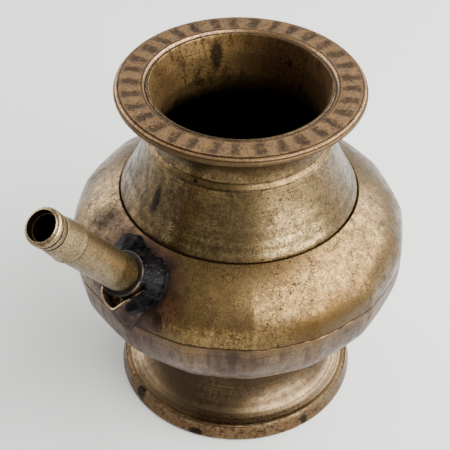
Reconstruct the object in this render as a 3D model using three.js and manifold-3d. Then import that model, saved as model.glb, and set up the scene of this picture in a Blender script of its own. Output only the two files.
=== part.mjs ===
// A spouted water pot in old brass: a turned foot, a bellied body made of two bowls, a flared neck
// with a flat rim, and a straight spout bedded in a drawn socket with black pitch.
// Millimetres, +Z up. The pot stands on Z = 0 and its spout points along -X.
import * as THREE from 'three';
import { mergeVertices } from 'three/addons/utils/BufferGeometryUtils.js';
import Module from 'manifold-3d';

const wasm = await Module();
wasm.setup();

// How finely round things are cut into flats.
const POT_SEGMENTS = 48;
const SPOUT_SEGMENTS = 24;
const RELIEF_SEGMENTS = 36;
const WALL_RINGS = 8;
const CURVE_STEPS = 4;
const COVE_STEPS = 7;
const BEAD_STEPS = 6;
const NOSE_STEPS = 3;
const MERGE_TOLERANCE = 1e-4;

// Clearances and joints between pieces.
const GAP = 0.3;
const BRAZE_T = 0.3;

// Foot: a waisted ring, open underneath.
const FOOT_H = 31.3;
const FOOT_R = 51.4;
const FOOT_CHAMFER = 1.2;
const FLANGE_TOP_R = 49.9;
const FLANGE_H = 7.0;
const WAIST_R = 35.6;
const WAIST_DROP = 6.5;
const FOOT_WALL = 2.4;
const FOOT_BEARING_W = 4.2;

// Body: two bowls joined just under the widest part.
const BELLY_R = 69.5;
const BELLY_RISE = 46.4;
const SEAM_RISE = 42.1;
const SHOULDER_RISE = 68.7;
const SHOULDER_R = 48.6;
const UPPER_CURVE = 2.2;
const LOWER_CURVE = 2.9;
const BOWL_WALL = 1.9;
const SHOULDER_LIP_W = 3.6;
const BASE_SAG = 7.1;
const BASE_SPIGOT_H = 2.4;
const PANELS = 16;
const PANEL_DEPTH = 0.6;
const PANEL_FADE = 16;

// Turned grooves.
const GROOVE_W = 0.9;
const GROOVE_D = 0.45;
const SHOULDER_GROOVE_W = 1.5;
const SHOULDER_GROOVE_D = 0.8;

// Neck: a concave cone, a band between two lines, and a throat that opens towards the rim.
const NECK_H = 48.8;
const SHOULDER_STEP = 0.4;
const CONE_EDGE_H = 0.8;
const CONE_H = 25.5;
const CONE_TOP_R = 37.2;
const CONE_SAG = 0.9;
const BAND_H = 2.4;
const BAND_TOP_R = 35.9;
const THROAT_R = 35.5;
const THROAT_RISE = 2.6;
const COLLAR_SEAT_R = 38.6;
const COLLAR_SEAT_DROP = 8.4;
const NECK_WALL = 2.4;
const THROAT_THICKENING = 1.0;
const NECK_END_R = 36.4;
const NECK_END_W = 1.0;

// Rim: a flat ring with a round bead, seated on the neck's ledge.
const RIM_PROUD = 0.6;
const MOUTH_EDGE_R = 37.6;
const FACE_R = 46.9;
const RIM_STEP = 0.45;
const BEAD_R = 1.7;
const RIM_R = 49.0;
const RIM_UNDER_R = 42.0;
const SOLDER_GROOVE_D = 1.3;

// Spout: a tube through the upper bowl, with a ferrule at its mouth.
const SPOUT_ELEVATION = THREE.MathUtils.degToRad(52.5);
const SPOUT_ROOT_DROP = 9.3;
const TUBE_R = 7.3;
const BORE_R = 5.1;
const TUBE_TAIL = 7.5;
const FERRULE_H = 18.4;
const FERRULE_FOOT_R = 7.85;
const FERRULE_FOOT_H = 2.0;
const FERRULE_WAIST_R = 6.95;
const FERRULE_BEAD_R = 7.25;
const SPIGOT_R = 6.0;
const BODY_LINE_DROP = 6.4;
const MOUTH_LINE_DROP = 3.2;
const SPOUT_LENGTH = 69.0;
const MOUTH_R = 6.2;
const MOUTH_LIP = 1.8;
const MOUTH_NOSE_H = 1.3;
const LINE_W = 0.7;
const LINE_D = 0.3;

// Root of the spout, measured along the spout from where its axis leaves the body.
const COLLAR_R = 9.2;
const COLLAR_FOOT = 8.4;
const COLLAR_T = 1.4;
const SOCKET_EDGE = 2.9;
const SOCKET_WALL = 1.0;
const SOCKET_HALF_W = 10.4;
const SOCKET_HALF_H = 12.0;
const SOCKET_LOW = 2.9;
const SOCKET_FLARE = 2.6;
const SOCKET_FLARE_TOP = 0.5;
const PITCH_REACHES = [16.8, 20.0, 13.5, 12.6, 15.2, 13.0, 13.6, 16.4];
const PITCH_EDGE_T = 0.7;
const PITCH_CLIMB = 7.9;
const PITCH_FLOOR_T = 1.4;
const PITCH_APRON = 2.0;
const PITCH_CREST = 0.45;
const PIT_START = THREE.MathUtils.degToRad(105);
const PIT_END = THREE.MathUtils.degToRad(255);
const PIT_SIDE = THREE.MathUtils.degToRad(14);
const TOOL_REACH = 3 * TUBE_TAIL;
const SOLVER_TURNS = 40;
const SOLVER_PACE = 0.7;

// Levels and radii that follow from the sizes above.
const SEAT_Z = FOOT_H + BRAZE_T;
const SEAT_R = WAIST_R + GAP;
const BELLY_Z = SEAT_Z + BELLY_RISE;
const SEAM_Z = SEAT_Z + SEAM_RISE;
const SHOULDER_Z = SEAT_Z + SHOULDER_RISE;
const NECK_Z = SHOULDER_Z + BRAZE_T;
const CONE_FOOT_R = SHOULDER_R - SHOULDER_STEP;
const NECK_TOP_Z = NECK_Z + NECK_H;
const COLLAR_SEAT_Z = NECK_TOP_Z - COLLAR_SEAT_DROP;
const RIM_TOP_Z = NECK_TOP_Z + RIM_PROUD;
const RIM_BORE_R = NECK_END_R + GAP;
const FOOT_BORE_R = WAIST_R - FOOT_WALL;
const SPIGOT_OUT_R = FOOT_BORE_R - 2 * GAP;
const SPOUT_ROOT_Z = SHOULDER_Z - SPOUT_ROOT_DROP;
const SPOUT_ROOT_R = bellyRadius(SPOUT_ROOT_Z);
const FERRULE_FOOT = SPOUT_LENGTH - FERRULE_H;
const LINE_NEAR_BODY = SPOUT_LENGTH - BODY_LINE_DROP;
const LINE_NEAR_MOUTH = SPOUT_LENGTH - MOUTH_LINE_DROP;

const OLD_BRASS = { color: 0x8d7a55, roughness: 0.42, metalness: 0.95 };
const RIM_BRASS = { color: 0x8a6748, roughness: 0.5, metalness: 0.9 };
const FOOT_BRASS = { color: 0x857351, roughness: 0.45, metalness: 0.95 };
const SPOUT_BRASS = { color: 0x9b8a63, roughness: 0.4, metalness: 0.95 };
const BRAZING = { color: 0x6f6048, roughness: 0.6, metalness: 0.8 };
const SOFT_SOLDER = { color: 0x4d473f, roughness: 0.65, metalness: 0.5 };
const BLACK_PITCH = { color: 0x17171a, roughness: 0.25, metalness: 0.0 };

// Outer radius of the plain body of revolution at a height, before its panels are planished.
function bellyRadius(z) {
  if (z >= BELLY_Z) {
    const share = (z - BELLY_Z) / (SHOULDER_Z - BELLY_Z);
    return BELLY_R - (BELLY_R - SHOULDER_R) * share ** UPPER_CURVE;
  }
  const share = (BELLY_Z - z) / (BELLY_Z - SEAT_Z);
  return BELLY_R - (BELLY_R - SEAT_R) * share ** LOWER_CURVE;
}

// Outward normal of the body's outline, as [radial, vertical].
function bellyNormal(z) {
  const step = 0.01;
  const slope = (bellyRadius(z + step) - bellyRadius(z - step)) / (2 * step);
  const length = Math.hypot(1, slope);
  return [1 / length, -slope / length];
}

// How deep the flats of the planished body lie below its round outline.
function panelInset(angle, z) {
  const room = Math.min(SHOULDER_Z - z, z - SEAT_Z);
  const fade = THREE.MathUtils.smoothstep(room, 0, PANEL_FADE);
  const turn = angle / (2 * Math.PI / PANELS);
  const fromMiddle = 2 * (turn - Math.floor(turn)) - 1;
  return PANEL_DEPTH * fade * (1 - fromMiddle ** 2);
}

function shellRadius(angle, z) {
  return bellyRadius(z) - panelInset(angle, z);
}

// Keeps positions only, joins shared corners and drops faces that have no area.
function welded(geometry) {
  const bare = geometry.clone();
  bare.deleteAttribute('normal');
  bare.deleteAttribute('uv');
  const merged = mergeVertices(bare, MERGE_TOLERANCE);
  const corners = merged.index.array;
  const kept = [];
  for (let i = 0; i < corners.length; i += 3) {
    const [a, b, c] = [corners[i], corners[i + 1], corners[i + 2]];
    if (a !== b && b !== c && c !== a) kept.push(a, b, c);
  }
  merged.setIndex(kept);
  return merged;
}

// Turns an outline of [radius, height] points round Z. Outlines run up the outside.
function turned(outline, segments = POT_SEGMENTS) {
  const points = outline.map(([radius, height]) => new THREE.Vector2(radius, height));
  if (outline[0][0] > 0) points.push(points[0].clone());
  const geometry = new THREE.LatheGeometry(points, segments);
  geometry.rotateX(Math.PI / 2);
  return welded(geometry);
}

// Planishes a turned bowl: every corner moves in by the depth of the panel at its place.
function planished(geometry) {
  const place = geometry.attributes.position;
  for (let i = 0; i < place.count; i += 1) {
    const [x, y, z] = [place.getX(i), place.getY(i), place.getZ(i)];
    const radius = Math.hypot(x, y);
    if (radius < MERGE_TOLERANCE) continue;
    const scale = 1 - panelInset(Math.atan2(y, x), z) / radius;
    place.setXYZ(i, x * scale, y * scale, z);
  }
  return geometry;
}

function toSolid(geometry) {
  const clean = welded(geometry);
  const vertProperties = new Float32Array(clean.attributes.position.array);
  const triVerts = new Uint32Array(clean.index.array);
  return new wasm.Manifold(new wasm.Mesh({ numProp: 3, vertProperties, triVerts }));
}

function toGeometry(solid) {
  const mesh = solid.getMesh();
  const geometry = new THREE.BufferGeometry();
  geometry.setAttribute('position', new THREE.BufferAttribute(mesh.vertProperties, 3));
  geometry.setIndex(new THREE.BufferAttribute(mesh.triVerts, 1));
  return geometry;
}

function cutFrom(geometry, ...tools) {
  let solid = toSolid(geometry);
  for (const tool of tools) solid = solid.subtract(toSolid(tool));
  return toGeometry(solid);
}

function steps(from, to, count) {
  return Array.from({ length: count + 1 }, (_, i) => from + (to - from) * i / count);
}

// Points of an arc from one angle to another, in degrees, about [r, z].
function arc(r, z, radius, fromDegrees, toDegrees, count) {
  return steps(fromDegrees, toDegrees, count).map((degrees) => {
    const angle = THREE.MathUtils.degToRad(degrees);
    return [r + radius * Math.cos(angle), z + radius * Math.sin(angle)];
  });
}

// A cord from [r, z] to [r, z] bowed towards the axis by sag at its middle.
function bowed(start, end, sag) {
  return steps(0, 1, CURVE_STEPS).map((share) => {
    const r = start[0] + (end[0] - start[0]) * share;
    const z = start[1] + (end[1] - start[1]) * share;
    return [r - 4 * sag * share * (1 - share), z];
  });
}

// A V-shaped line cut into a wall at [r, z], listed upwards.
function cutLine(r, z, width, depth) {
  return [[r, z - width / 2], [r - depth, z], [r, z + width / 2]];
}

function makeFoot() {
  const cove = steps(90, 0, COVE_STEPS).map((degrees) => {
    const angle = THREE.MathUtils.degToRad(degrees);
    const reach = FLANGE_TOP_R - GROOVE_W - WAIST_R;
    const rise = FOOT_H - WAIST_DROP - FLANGE_H - GROOVE_D;
    const r = FLANGE_TOP_R - GROOVE_W - reach * Math.cos(angle);
    return [r, FOOT_H - WAIST_DROP - rise * Math.sin(angle)];
  });
  const outside = [
    [FOOT_R - FOOT_CHAMFER / 2, 0],
    [FOOT_R, FOOT_CHAMFER],
    [FLANGE_TOP_R, FLANGE_H],
    [FLANGE_TOP_R - GROOVE_W / 2, FLANGE_H - GROOVE_D],
    ...cove,
    [WAIST_R, FOOT_H],
  ];
  const inside = [
    [FOOT_BORE_R, FOOT_H],
    [FOOT_BORE_R, FOOT_H - WAIST_DROP],
    [FOOT_BORE_R + FOOT_WALL, FOOT_H / 2],
    [FOOT_R - FOOT_BEARING_W - FOOT_WALL, FLANGE_H - FOOT_WALL],
    [FOOT_R - FOOT_BEARING_W, 0],
  ];
  return turned([...outside, ...inside]);
}

// A point on the inside of the shell, one wall in from the outside at a height.
function insideShell(z) {
  const [across, up] = bellyNormal(z);
  return [bellyRadius(z) - BOWL_WALL * across, z - BOWL_WALL * up];
}

function makeLowerBowl() {
  const wallZs = steps(SEAT_Z, SEAM_Z, WALL_RINGS);
  const seatInside = insideShell(SEAT_Z);
  const baseZ = SEAT_Z - BASE_SAG;
  const underside = steps(0, 1, CURVE_STEPS).map((share) => {
    const rise = BASE_SAG - BASE_SPIGOT_H;
    return [SPIGOT_OUT_R * share, baseZ + rise * share ** 2];
  });
  const outside = [...underside, [SPIGOT_OUT_R, SEAT_Z], ...wallZs.map((z) => [bellyRadius(z), z])];
  const insideWall = wallZs.slice(1, -1).reverse().map(insideShell);
  const floor = steps(1, 0, CURVE_STEPS).map((share) => {
    const rise = seatInside[1] - baseZ - BOWL_WALL;
    return [seatInside[0] * share, baseZ + BOWL_WALL + rise * share ** 2];
  });
  const inside = [[bellyRadius(SEAM_Z) - BOWL_WALL, SEAM_Z], ...insideWall, ...floor];
  return planished(turned([...outside, ...inside]));
}

function makeUpperBowl() {
  const outsideZs = steps(SEAM_Z + BRAZE_T, SHOULDER_Z - GROOVE_D, WALL_RINGS);
  const lipR = CONE_FOOT_R - SHOULDER_LIP_W;
  const grooveR = CONE_FOOT_R - SHOULDER_GROOVE_W / 2;
  const outside = [
    ...outsideZs.map((z) => [bellyRadius(z), z]),
    [grooveR, SHOULDER_Z - SHOULDER_GROOVE_D],
    [CONE_FOOT_R - SHOULDER_GROOVE_W, SHOULDER_Z],
  ];
  const insideZs = outsideZs.slice(1).reverse();
  const inside = [
    [lipR, SHOULDER_Z],
    [lipR, SHOULDER_Z - BOWL_WALL],
    ...insideZs.map(insideShell),
    [bellyRadius(SEAM_Z + BRAZE_T) - BOWL_WALL, SEAM_Z + BRAZE_T],
  ];
  const hole = tubeTool().applyMatrix4(spoutFrame());
  return cutFrom(planished(turned([...outside, ...inside])), hole);
}

function makeNeck() {
  const coneFootZ = NECK_Z + CONE_EDGE_H;
  const coneTopZ = NECK_Z + CONE_H;
  const bandTopZ = coneTopZ + BAND_H;
  const throatZ = bandTopZ + THROAT_RISE;
  const cone = bowed([CONE_FOOT_R - GAP, coneFootZ], [CONE_TOP_R, coneTopZ - GROOVE_W / 2], CONE_SAG);
  const flare = steps(0, 1, CURVE_STEPS).map((share) => {
    const r = THROAT_R + (COLLAR_SEAT_R - THROAT_R) * share ** 2;
    return [r, throatZ + (COLLAR_SEAT_Z - throatZ) * share];
  });
  const outside = [
    [CONE_FOOT_R, NECK_Z],
    ...cone,
    [CONE_TOP_R - GROOVE_D, coneTopZ],
    [CONE_TOP_R - GROOVE_D, coneTopZ + GROOVE_W / 2],
    ...cutLine(BAND_TOP_R, bandTopZ, GROOVE_W, GROOVE_D),
    ...flare,
    [NECK_END_R, COLLAR_SEAT_Z],
    [NECK_END_R, NECK_TOP_Z],
  ];
  const innerTop = [CONE_TOP_R - NECK_WALL - THROAT_THICKENING, coneTopZ];
  const innerCone = bowed(innerTop, [CONE_FOOT_R - NECK_WALL, coneFootZ], CONE_SAG);
  const inside = [
    [NECK_END_R - NECK_END_W, NECK_TOP_Z],
    [NECK_END_R - NECK_WALL, COLLAR_SEAT_Z],
    [THROAT_R - NECK_WALL, throatZ],
    ...innerCone,
    [CONE_FOOT_R - SHOULDER_LIP_W, NECK_Z],
  ];
  return turned([...outside, ...inside]);
}

function makeRim() {
  const beadZ = RIM_TOP_Z - RIM_STEP - BEAD_R;
  const beadAxisR = RIM_R - BEAD_R;
  const under = steps(0, 1, CURVE_STEPS).map((share) => {
    const r = COLLAR_SEAT_R + (RIM_UNDER_R - COLLAR_SEAT_R) * share ** 2;
    return [r, COLLAR_SEAT_Z + (beadZ - BEAD_R - COLLAR_SEAT_Z) * share];
  });
  const outline = [
    ...under,
    ...arc(beadAxisR, beadZ, BEAD_R, -90, 90, BEAD_STEPS),
    [FACE_R, RIM_TOP_Z - RIM_STEP],
    [FACE_R, RIM_TOP_Z],
    [MOUTH_EDGE_R, RIM_TOP_Z],
    [RIM_BORE_R, RIM_TOP_Z - SOLDER_GROOVE_D],
    [RIM_BORE_R, COLLAR_SEAT_Z],
  ];
  return turned(outline);
}

// Radius of the sloping side of the groove that the rim keeps open round the neck's end.
function solderGrooveRadius(z) {
  const share = (z - RIM_TOP_Z + SOLDER_GROOVE_D) / SOLDER_GROOVE_D;
  return RIM_BORE_R + (MOUTH_EDGE_R - RIM_BORE_R) * share;
}

// Joint fillers: a bead round the mouth of the neck, and flat layers between turned faces.
function makeRimSolder() {
  const low = RIM_TOP_Z - SOLDER_GROOVE_D + GAP;
  const high = NECK_TOP_Z - GAP / 2;
  const innerR = NECK_END_R + GAP / 2;
  return turned([
    [innerR, low],
    [solderGrooveRadius(low) - GAP / 2, low],
    [solderGrooveRadius(high) - GAP / 2, high],
    [innerR, high],
  ]);
}

function makeLayer(innerR, outerR, z) {
  return turned([[innerR, z], [outerR, z], [outerR, z + BRAZE_T], [innerR, z + BRAZE_T]]);
}

function makeBellySolder() {
  const r = bellyRadius(SEAM_Z);
  return planished(makeLayer(r - BOWL_WALL, r, SEAM_Z));
}

// The spout's own frame: Z along the spout, X up its back, Y across, origin on the body's surface.
function spoutFrame() {
  const frame = new THREE.Matrix4().makeRotationY(SPOUT_ELEVATION - Math.PI / 2);
  return frame.setPosition(-SPOUT_ROOT_R, 0, SPOUT_ROOT_Z);
}

function makeTube() {
  return turned([
    [BORE_R, -TUBE_TAIL],
    [TUBE_R, -TUBE_TAIL],
    [TUBE_R, FERRULE_FOOT - GAP],
    [SPIGOT_R, FERRULE_FOOT - GAP],
    [SPIGOT_R, LINE_NEAR_MOUTH],
    [BORE_R, LINE_NEAR_MOUTH],
  ], SPOUT_SEGMENTS);
}

function makeFerrule() {
  const noseFoot = SPOUT_LENGTH - MOUTH_LIP;
  const nose = steps(0, 90, NOSE_STEPS).map((degrees) => {
    const angle = THREE.MathUtils.degToRad(degrees);
    const width = FERRULE_BEAD_R - MOUTH_R;
    return [MOUTH_R + width * Math.cos(angle), noseFoot + MOUTH_NOSE_H * Math.sin(angle)];
  });
  const outside = [
    [SPIGOT_R + GAP, FERRULE_FOOT],
    [FERRULE_FOOT_R, FERRULE_FOOT],
    [FERRULE_FOOT_R - GAP, FERRULE_FOOT + FERRULE_FOOT_H],
    ...cutLine(FERRULE_WAIST_R, LINE_NEAR_BODY, LINE_W, LINE_D),
    ...cutLine(FERRULE_BEAD_R, LINE_NEAR_MOUTH, LINE_W, LINE_D),
    ...nose,
  ];
  const inside = [
    [BORE_R, SPOUT_LENGTH],
    [BORE_R, LINE_NEAR_MOUTH + GAP],
    [SPIGOT_R + GAP, LINE_NEAR_MOUTH + GAP],
  ];
  return turned([...outside, ...inside], SPOUT_SEGMENTS);
}

function makeRootCollar() {
  const [low, high] = [COLLAR_FOOT, COLLAR_FOOT + COLLAR_T];
  const boreR = TUBE_R + GAP;
  const corner = COLLAR_T / 3;
  return turned([
    [boreR, low],
    [COLLAR_R - corner, low],
    [COLLAR_R, low + corner],
    [COLLAR_R, high - corner],
    [COLLAR_R - corner, high],
    [boreR, high],
  ], SPOUT_SEGMENTS);
}

// Height along the spout, over a place [x, y] of its frame, of the body's surface lifted by a gap.
function surfaceUnder(x, y, lift) {
  const frame = spoutFrame();
  const point = new THREE.Vector3();
  let height = 0;
  for (let i = 0; i < SOLVER_TURNS; i += 1) {
    point.set(x, y, height).applyMatrix4(frame);
    const wall = shellRadius(Math.atan2(point.y, point.x), point.z);
    const [across] = bellyNormal(point.z);
    height -= SOLVER_PACE * (Math.hypot(point.x, point.y) - wall - lift / across);
  }
  return height;
}

// A ring-shaped body: its skin runs from the first ring of points to the last and back to the first.
function skinned(rings) {
  const count = rings[0].length;
  const places = rings.flat(2);
  const index = [];
  for (let i = 0; i < rings.length; i += 1) {
    const next = (i + 1) % rings.length;
    for (let j = 0; j < count; j += 1) {
      const after = (j + 1) % count;
      const [a, b] = [i * count + j, i * count + after];
      const [c, d] = [next * count + after, next * count + j];
      index.push(a, b, c, a, c, d);
    }
  }
  const geometry = new THREE.BufferGeometry();
  geometry.setAttribute('position', new THREE.Float32BufferAttribute(places, 3));
  geometry.setIndex(index);
  return welded(geometry);
}

// The socket's oval, as the distance from the spout's axis in a direction, grown outwards.
function socketReach(angle, grow) {
  const [across, up] = [SOCKET_HALF_W + grow, SOCKET_HALF_H + grow];
  const [c, s] = [Math.cos(angle), Math.sin(angle)];
  const a = (c / up) ** 2 + (s / across) ** 2;
  const b = 2 * c * SOCKET_LOW / up ** 2;
  const k = (SOCKET_LOW / up) ** 2 - 1;
  return (-b + Math.sqrt(b * b - 4 * a * k)) / (2 * a);
}

function around(count) {
  return steps(0, 2 * Math.PI, count).slice(0, -1);
}

// A collar of the body's metal: its foot follows the body and its edge lies square to the spout.
// A growth above nought gives the same collar with that much room left all round it.
function socketBody(grow) {
  const ring = (reachOf, share, lift) => around(RELIEF_SEGMENTS).map((angle) => {
    const [x, y] = [Math.cos(angle), Math.sin(angle)];
    const own = reachOf(angle, 0);
    const foot = surfaceUnder(own * x, own * y, GAP);
    const reach = reachOf(angle, grow);
    return [reach * x, reach * y, foot + (SOCKET_EDGE - foot) * share + lift];
  });
  const outer = (flare) => (angle, room) => socketReach(angle, flare + room);
  const inner = (angle, room) => socketReach(angle, -SOCKET_WALL - room);
  return skinned([
    ring(inner, 0, -2 * grow),
    ring(outer(SOCKET_FLARE / 2), 0, -2 * grow),
    ring(outer(SOCKET_FLARE), 0, -2 * grow),
    ring(outer(SOCKET_FLARE), 0, grow),
    ring(outer(SOCKET_FLARE / 3), SOCKET_FLARE_TOP / 3, grow),
    ring(outer(0), SOCKET_FLARE_TOP, grow),
    ring(outer(0), 1, grow),
    ring(inner, 1, grow),
  ]);
}

// Room for the tube, cut out of what it passes through.
function tubeTool() {
  const r = TUBE_R + GAP;
  return turned([[0, -TOOL_REACH], [r, -TOOL_REACH], [r, TOOL_REACH], [0, TOOL_REACH]], SPOUT_SEGMENTS);
}

function makeSocket() {
  return cutFrom(socketBody(0), tubeTool());
}

// How far the pitch reaches over the body in a direction, eased between the listed reaches.
function pitchReach(angle) {
  const turn = angle / (2 * Math.PI) * PITCH_REACHES.length;
  const before = Math.floor(turn) % PITCH_REACHES.length;
  const after = (before + 1) % PITCH_REACHES.length;
  const ease = (1 - Math.cos(Math.PI * (turn - Math.floor(turn)))) / 2;
  return PITCH_REACHES[before] * (1 - ease) + PITCH_REACHES[after] * ease;
}

// One inside the open pit under the spout, nought where the pitch fills the socket.
function pitShare(angle) {
  const opening = THREE.MathUtils.smoothstep(angle, PIT_START - PIT_SIDE, PIT_START);
  return opening * (1 - THREE.MathUtils.smoothstep(angle, PIT_END, PIT_END + PIT_SIDE));
}

// Height of the pitch along the spout at a place given by its distance and direction.
function pitchHeight(distance, angle) {
  const floor = surfaceUnder(distance * Math.cos(angle), distance * Math.sin(angle), GAP);
  const share = Math.min(1, distance / pitchReach(angle));
  const mound = PITCH_CLIMB * (1 - THREE.MathUtils.smoothstep(share, PITCH_CREST, 1));
  const filled = Math.max(floor + PITCH_EDGE_T, mound);
  const wall = socketReach(angle, -SOCKET_WALL - GAP);
  const pit = distance < wall ? floor + PITCH_FLOOR_T : Math.min(filled, SOCKET_EDGE);
  return filled + (Math.max(pit, floor + PITCH_EDGE_T) - filled) * pitShare(angle);
}

function makePitch() {
  const inner = TUBE_R - GAP;
  const ring = (reachOf, heightOf) => around(RELIEF_SEGMENTS).map((angle) => {
    const reach = reachOf(angle);
    const [x, y] = [reach * Math.cos(angle), reach * Math.sin(angle)];
    return [x, y, heightOf(x, y, reach, angle)];
  });
  const wall = (angle) => {
    return Math.min(socketReach(angle, -SOCKET_WALL - GAP), pitchReach(angle) - PITCH_APRON);
  };
  const apron = (share) => (angle) => wall(angle) * (1 - share) + pitchReach(angle) * share;
  const reaches = [
    () => inner,
    (angle) => (inner + wall(angle)) / 2,
    (angle) => wall(angle) - GAP / 2,
    (angle) => wall(angle) + GAP / 2,
    apron(1 / 3),
    apron(2 / 3),
    apron(1),
  ];
  const under = (x, y) => surfaceUnder(x, y, GAP);
  const over = (x, y, reach, angle) => pitchHeight(reach, angle);
  const bottom = reaches.map((reachOf) => ring(reachOf, under));
  const top = reaches.slice().reverse().map((reachOf) => ring(reachOf, over));
  const mound = skinned([...bottom, ...top]);
  return cutFrom(mound, tubeTool(), socketBody(GAP));
}

function piece(name, geometry, finish) {
  const mesh = new THREE.Mesh(geometry, new THREE.MeshStandardMaterial(finish));
  mesh.name = name;
  return mesh;
}

function makeSpout() {
  const group = new THREE.Group();
  group.applyMatrix4(spoutFrame());
  group.add(
    piece('spout_tube', makeTube(), SPOUT_BRASS),
    piece('spout_ferrule', makeFerrule(), SPOUT_BRASS),
    piece('spout_root_collar', makeRootCollar(), SPOUT_BRASS),
    piece('spout_socket', makeSocket(), OLD_BRASS),
    piece('pitch_seal', makePitch(), BLACK_PITCH),
  );
  return group;
}

function makePot() {
  const pot = new THREE.Group();
  const lipR = CONE_FOOT_R - SHOULDER_LIP_W;
  pot.add(
    piece('foot_ring', makeFoot(), FOOT_BRASS),
    piece('foot_solder', makeLayer(FOOT_BORE_R, WAIST_R, FOOT_H), BRAZING),
    piece('lower_bowl', makeLowerBowl(), OLD_BRASS),
    piece('belly_solder', makeBellySolder(), BRAZING),
    piece('upper_bowl', makeUpperBowl(), OLD_BRASS),
    piece('shoulder_solder', makeLayer(lipR, CONE_FOOT_R - SHOULDER_GROOVE_W, SHOULDER_Z), BRAZING),
    piece('neck_collar', makeNeck(), OLD_BRASS),
    piece('rim_solder', makeRimSolder(), SOFT_SOLDER),
    piece('rim_ring', makeRim(), RIM_BRASS),
    makeSpout(),
  );
  pot.updateMatrixWorld(true);
  const middle = new THREE.Box3().setFromObject(pot, true).getCenter(new THREE.Vector3());
  pot.position.x = -middle.x;
  return pot;
}

export default makePot();
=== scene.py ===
"""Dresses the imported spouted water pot: turned and planished meshes, aged brass, pitch, light and camera.

Lengths in the dataclasses are millimetres. Meshes are written in metres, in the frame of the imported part.
"""

import logging
import math
from collections.abc import Callable
from dataclasses import dataclass, field
from enum import Enum
from functools import partial

import bpy
from bpy.types import Material, MeshPolygon, Node, NodeSocket, NodeTree, Object
from mathutils import Matrix, Vector, noise


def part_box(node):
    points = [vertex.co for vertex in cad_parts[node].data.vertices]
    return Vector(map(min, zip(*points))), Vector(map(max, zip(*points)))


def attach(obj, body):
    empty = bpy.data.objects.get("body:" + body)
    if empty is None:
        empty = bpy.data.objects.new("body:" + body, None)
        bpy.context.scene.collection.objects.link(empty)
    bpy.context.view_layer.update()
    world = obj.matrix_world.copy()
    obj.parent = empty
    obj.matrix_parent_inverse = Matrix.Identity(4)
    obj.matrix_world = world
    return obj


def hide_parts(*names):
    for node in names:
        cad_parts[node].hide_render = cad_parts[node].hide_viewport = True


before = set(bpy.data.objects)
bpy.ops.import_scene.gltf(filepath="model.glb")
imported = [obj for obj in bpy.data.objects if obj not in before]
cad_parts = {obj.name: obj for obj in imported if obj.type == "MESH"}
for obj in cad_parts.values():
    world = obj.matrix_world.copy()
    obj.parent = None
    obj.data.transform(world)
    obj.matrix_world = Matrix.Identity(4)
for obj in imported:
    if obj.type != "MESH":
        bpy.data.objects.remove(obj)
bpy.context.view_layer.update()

MM = 0.001
TINY = 1e-6
# A face of a turned piece belongs to its inside where its normal leans this much towards the axis.
INWARD = -0.2
# A face of the beaten body belongs to its inside from this share of the wall's thickness on.
INNER_SHARE = 0.4
# Half the height over which the body's slope is measured.
SLOPE_STEP = 0.01
# How often, and by which share of what is left, the search for the body's surface moves on.
SURFACE_STEPS = 24
STEP_SHARE = 0.7
ROOT_BODY = "root"
LOG = logging.getLogger("water_pot")

MATH = "ShaderNodeMath"
VECTOR = "ShaderNodeVectorMath"

Point = tuple[float, float]
Triple = tuple[float, float, float]
Waves = tuple[Point, ...]
EVEN: Triple = (1.0, 1.0, 1.0)


class Pattern(Enum):
    """What a layer of a finish looks like, and so how its mask is drawn."""

    CLOUDS = "clouds"
    PITS = "pits"
    SCRATCHES = "scratches"
    TURNING = "turning"
    SPOT = "spot"
    RING = "ring"
    BAND = "band"
    STROKES = "strokes"


@dataclass(frozen=True)
class Layer:
    """One thing seen on a surface: a colour, with the gloss and the height that it brings.

    Attributes:
        pattern: The kind of mask.
        size: Size of the pattern's features, or the width of a ring or of a spot's or band's edge.
        colour: sRGB hex of the layer. A layer that only bounds another has none.
        opacity: How much of the colour the layer lays on at its fullest.
        gloss: Added to the roughness at the layer's fullest.
        rise: Height of the layer over the surface. Negative cuts in.
        level: Noise level above which a noisy pattern shows. Higher shows less.
        place: Spot: its middle. Ring: its radius and height. Band: its lowest and highest level.
            Strokes: their inner and outer radius.
        reach: Radius of a spot, the count of strokes, or how far turned rings stray.
        stretch: Scale of the pattern along the piece's own axes.
        within: Another layer whose mask bounds this one.
    """

    pattern: Pattern
    size: float
    colour: str = ""
    opacity: float = 1.0
    gloss: float = 0.0
    rise: float = 0.0
    level: float = 0.5
    place: tuple[float, ...] = ()
    reach: float = 0.0
    stretch: Triple = EVEN
    within: "Layer | None" = None


clouds, pits, scratches, turning, spot, ring, band, strokes = (partial(Layer, pattern) for pattern in Pattern)


@dataclass(frozen=True)
class Finish:
    """A surface made of a base and the layers that age and use have left on it.

    Attributes:
        name: Plain name of the real material, or of the painted shade that stands in for one.
        colour: sRGB hex of the bare base.
        roughness: Roughness of the base.
        layers: What lies on the base, from the lowest to the topmost.
        metallic: One for metal, nought for pitch, painted shade, dirt and paper.
        shine: Strength of the clear reflection that pitch, dirt and paper have.
    """

    name: str
    colour: str
    roughness: float
    layers: tuple[Layer, ...] = ()
    metallic: float = 1.0
    shine: float = 0.5


@dataclass(frozen=True)
class Lie:
    """Where a piece's own axis lies in the frame: its foot in millimetres and its tilt about Y."""

    foot: Triple
    tilt: float = 0.0

    def matrix(self) -> Matrix:
        """The piece's own millimetres turned and moved into the frame's metres."""
        turn = Matrix.Rotation(self.tilt, 4, "Y")
        return Matrix.Translation(Vector(self.foot) * MM) @ turn @ Matrix.Scale(MM, 4)


def linear(colour: str) -> tuple[float, float, float, float]:
    """Turns an sRGB hex colour to linear light.

    Args:
        colour: Six hex digits.

    Returns:
        Red, green, blue and an alpha of one.
    """
    parts = [int(colour[i:i + 2], 16) / 255 for i in (0, 2, 4)]
    light = [c / 12.92 if c <= 0.04045 else ((c + 0.055) / 1.055) ** 2.4 for c in parts]
    return (light[0], light[1], light[2], 1.0)


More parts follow.
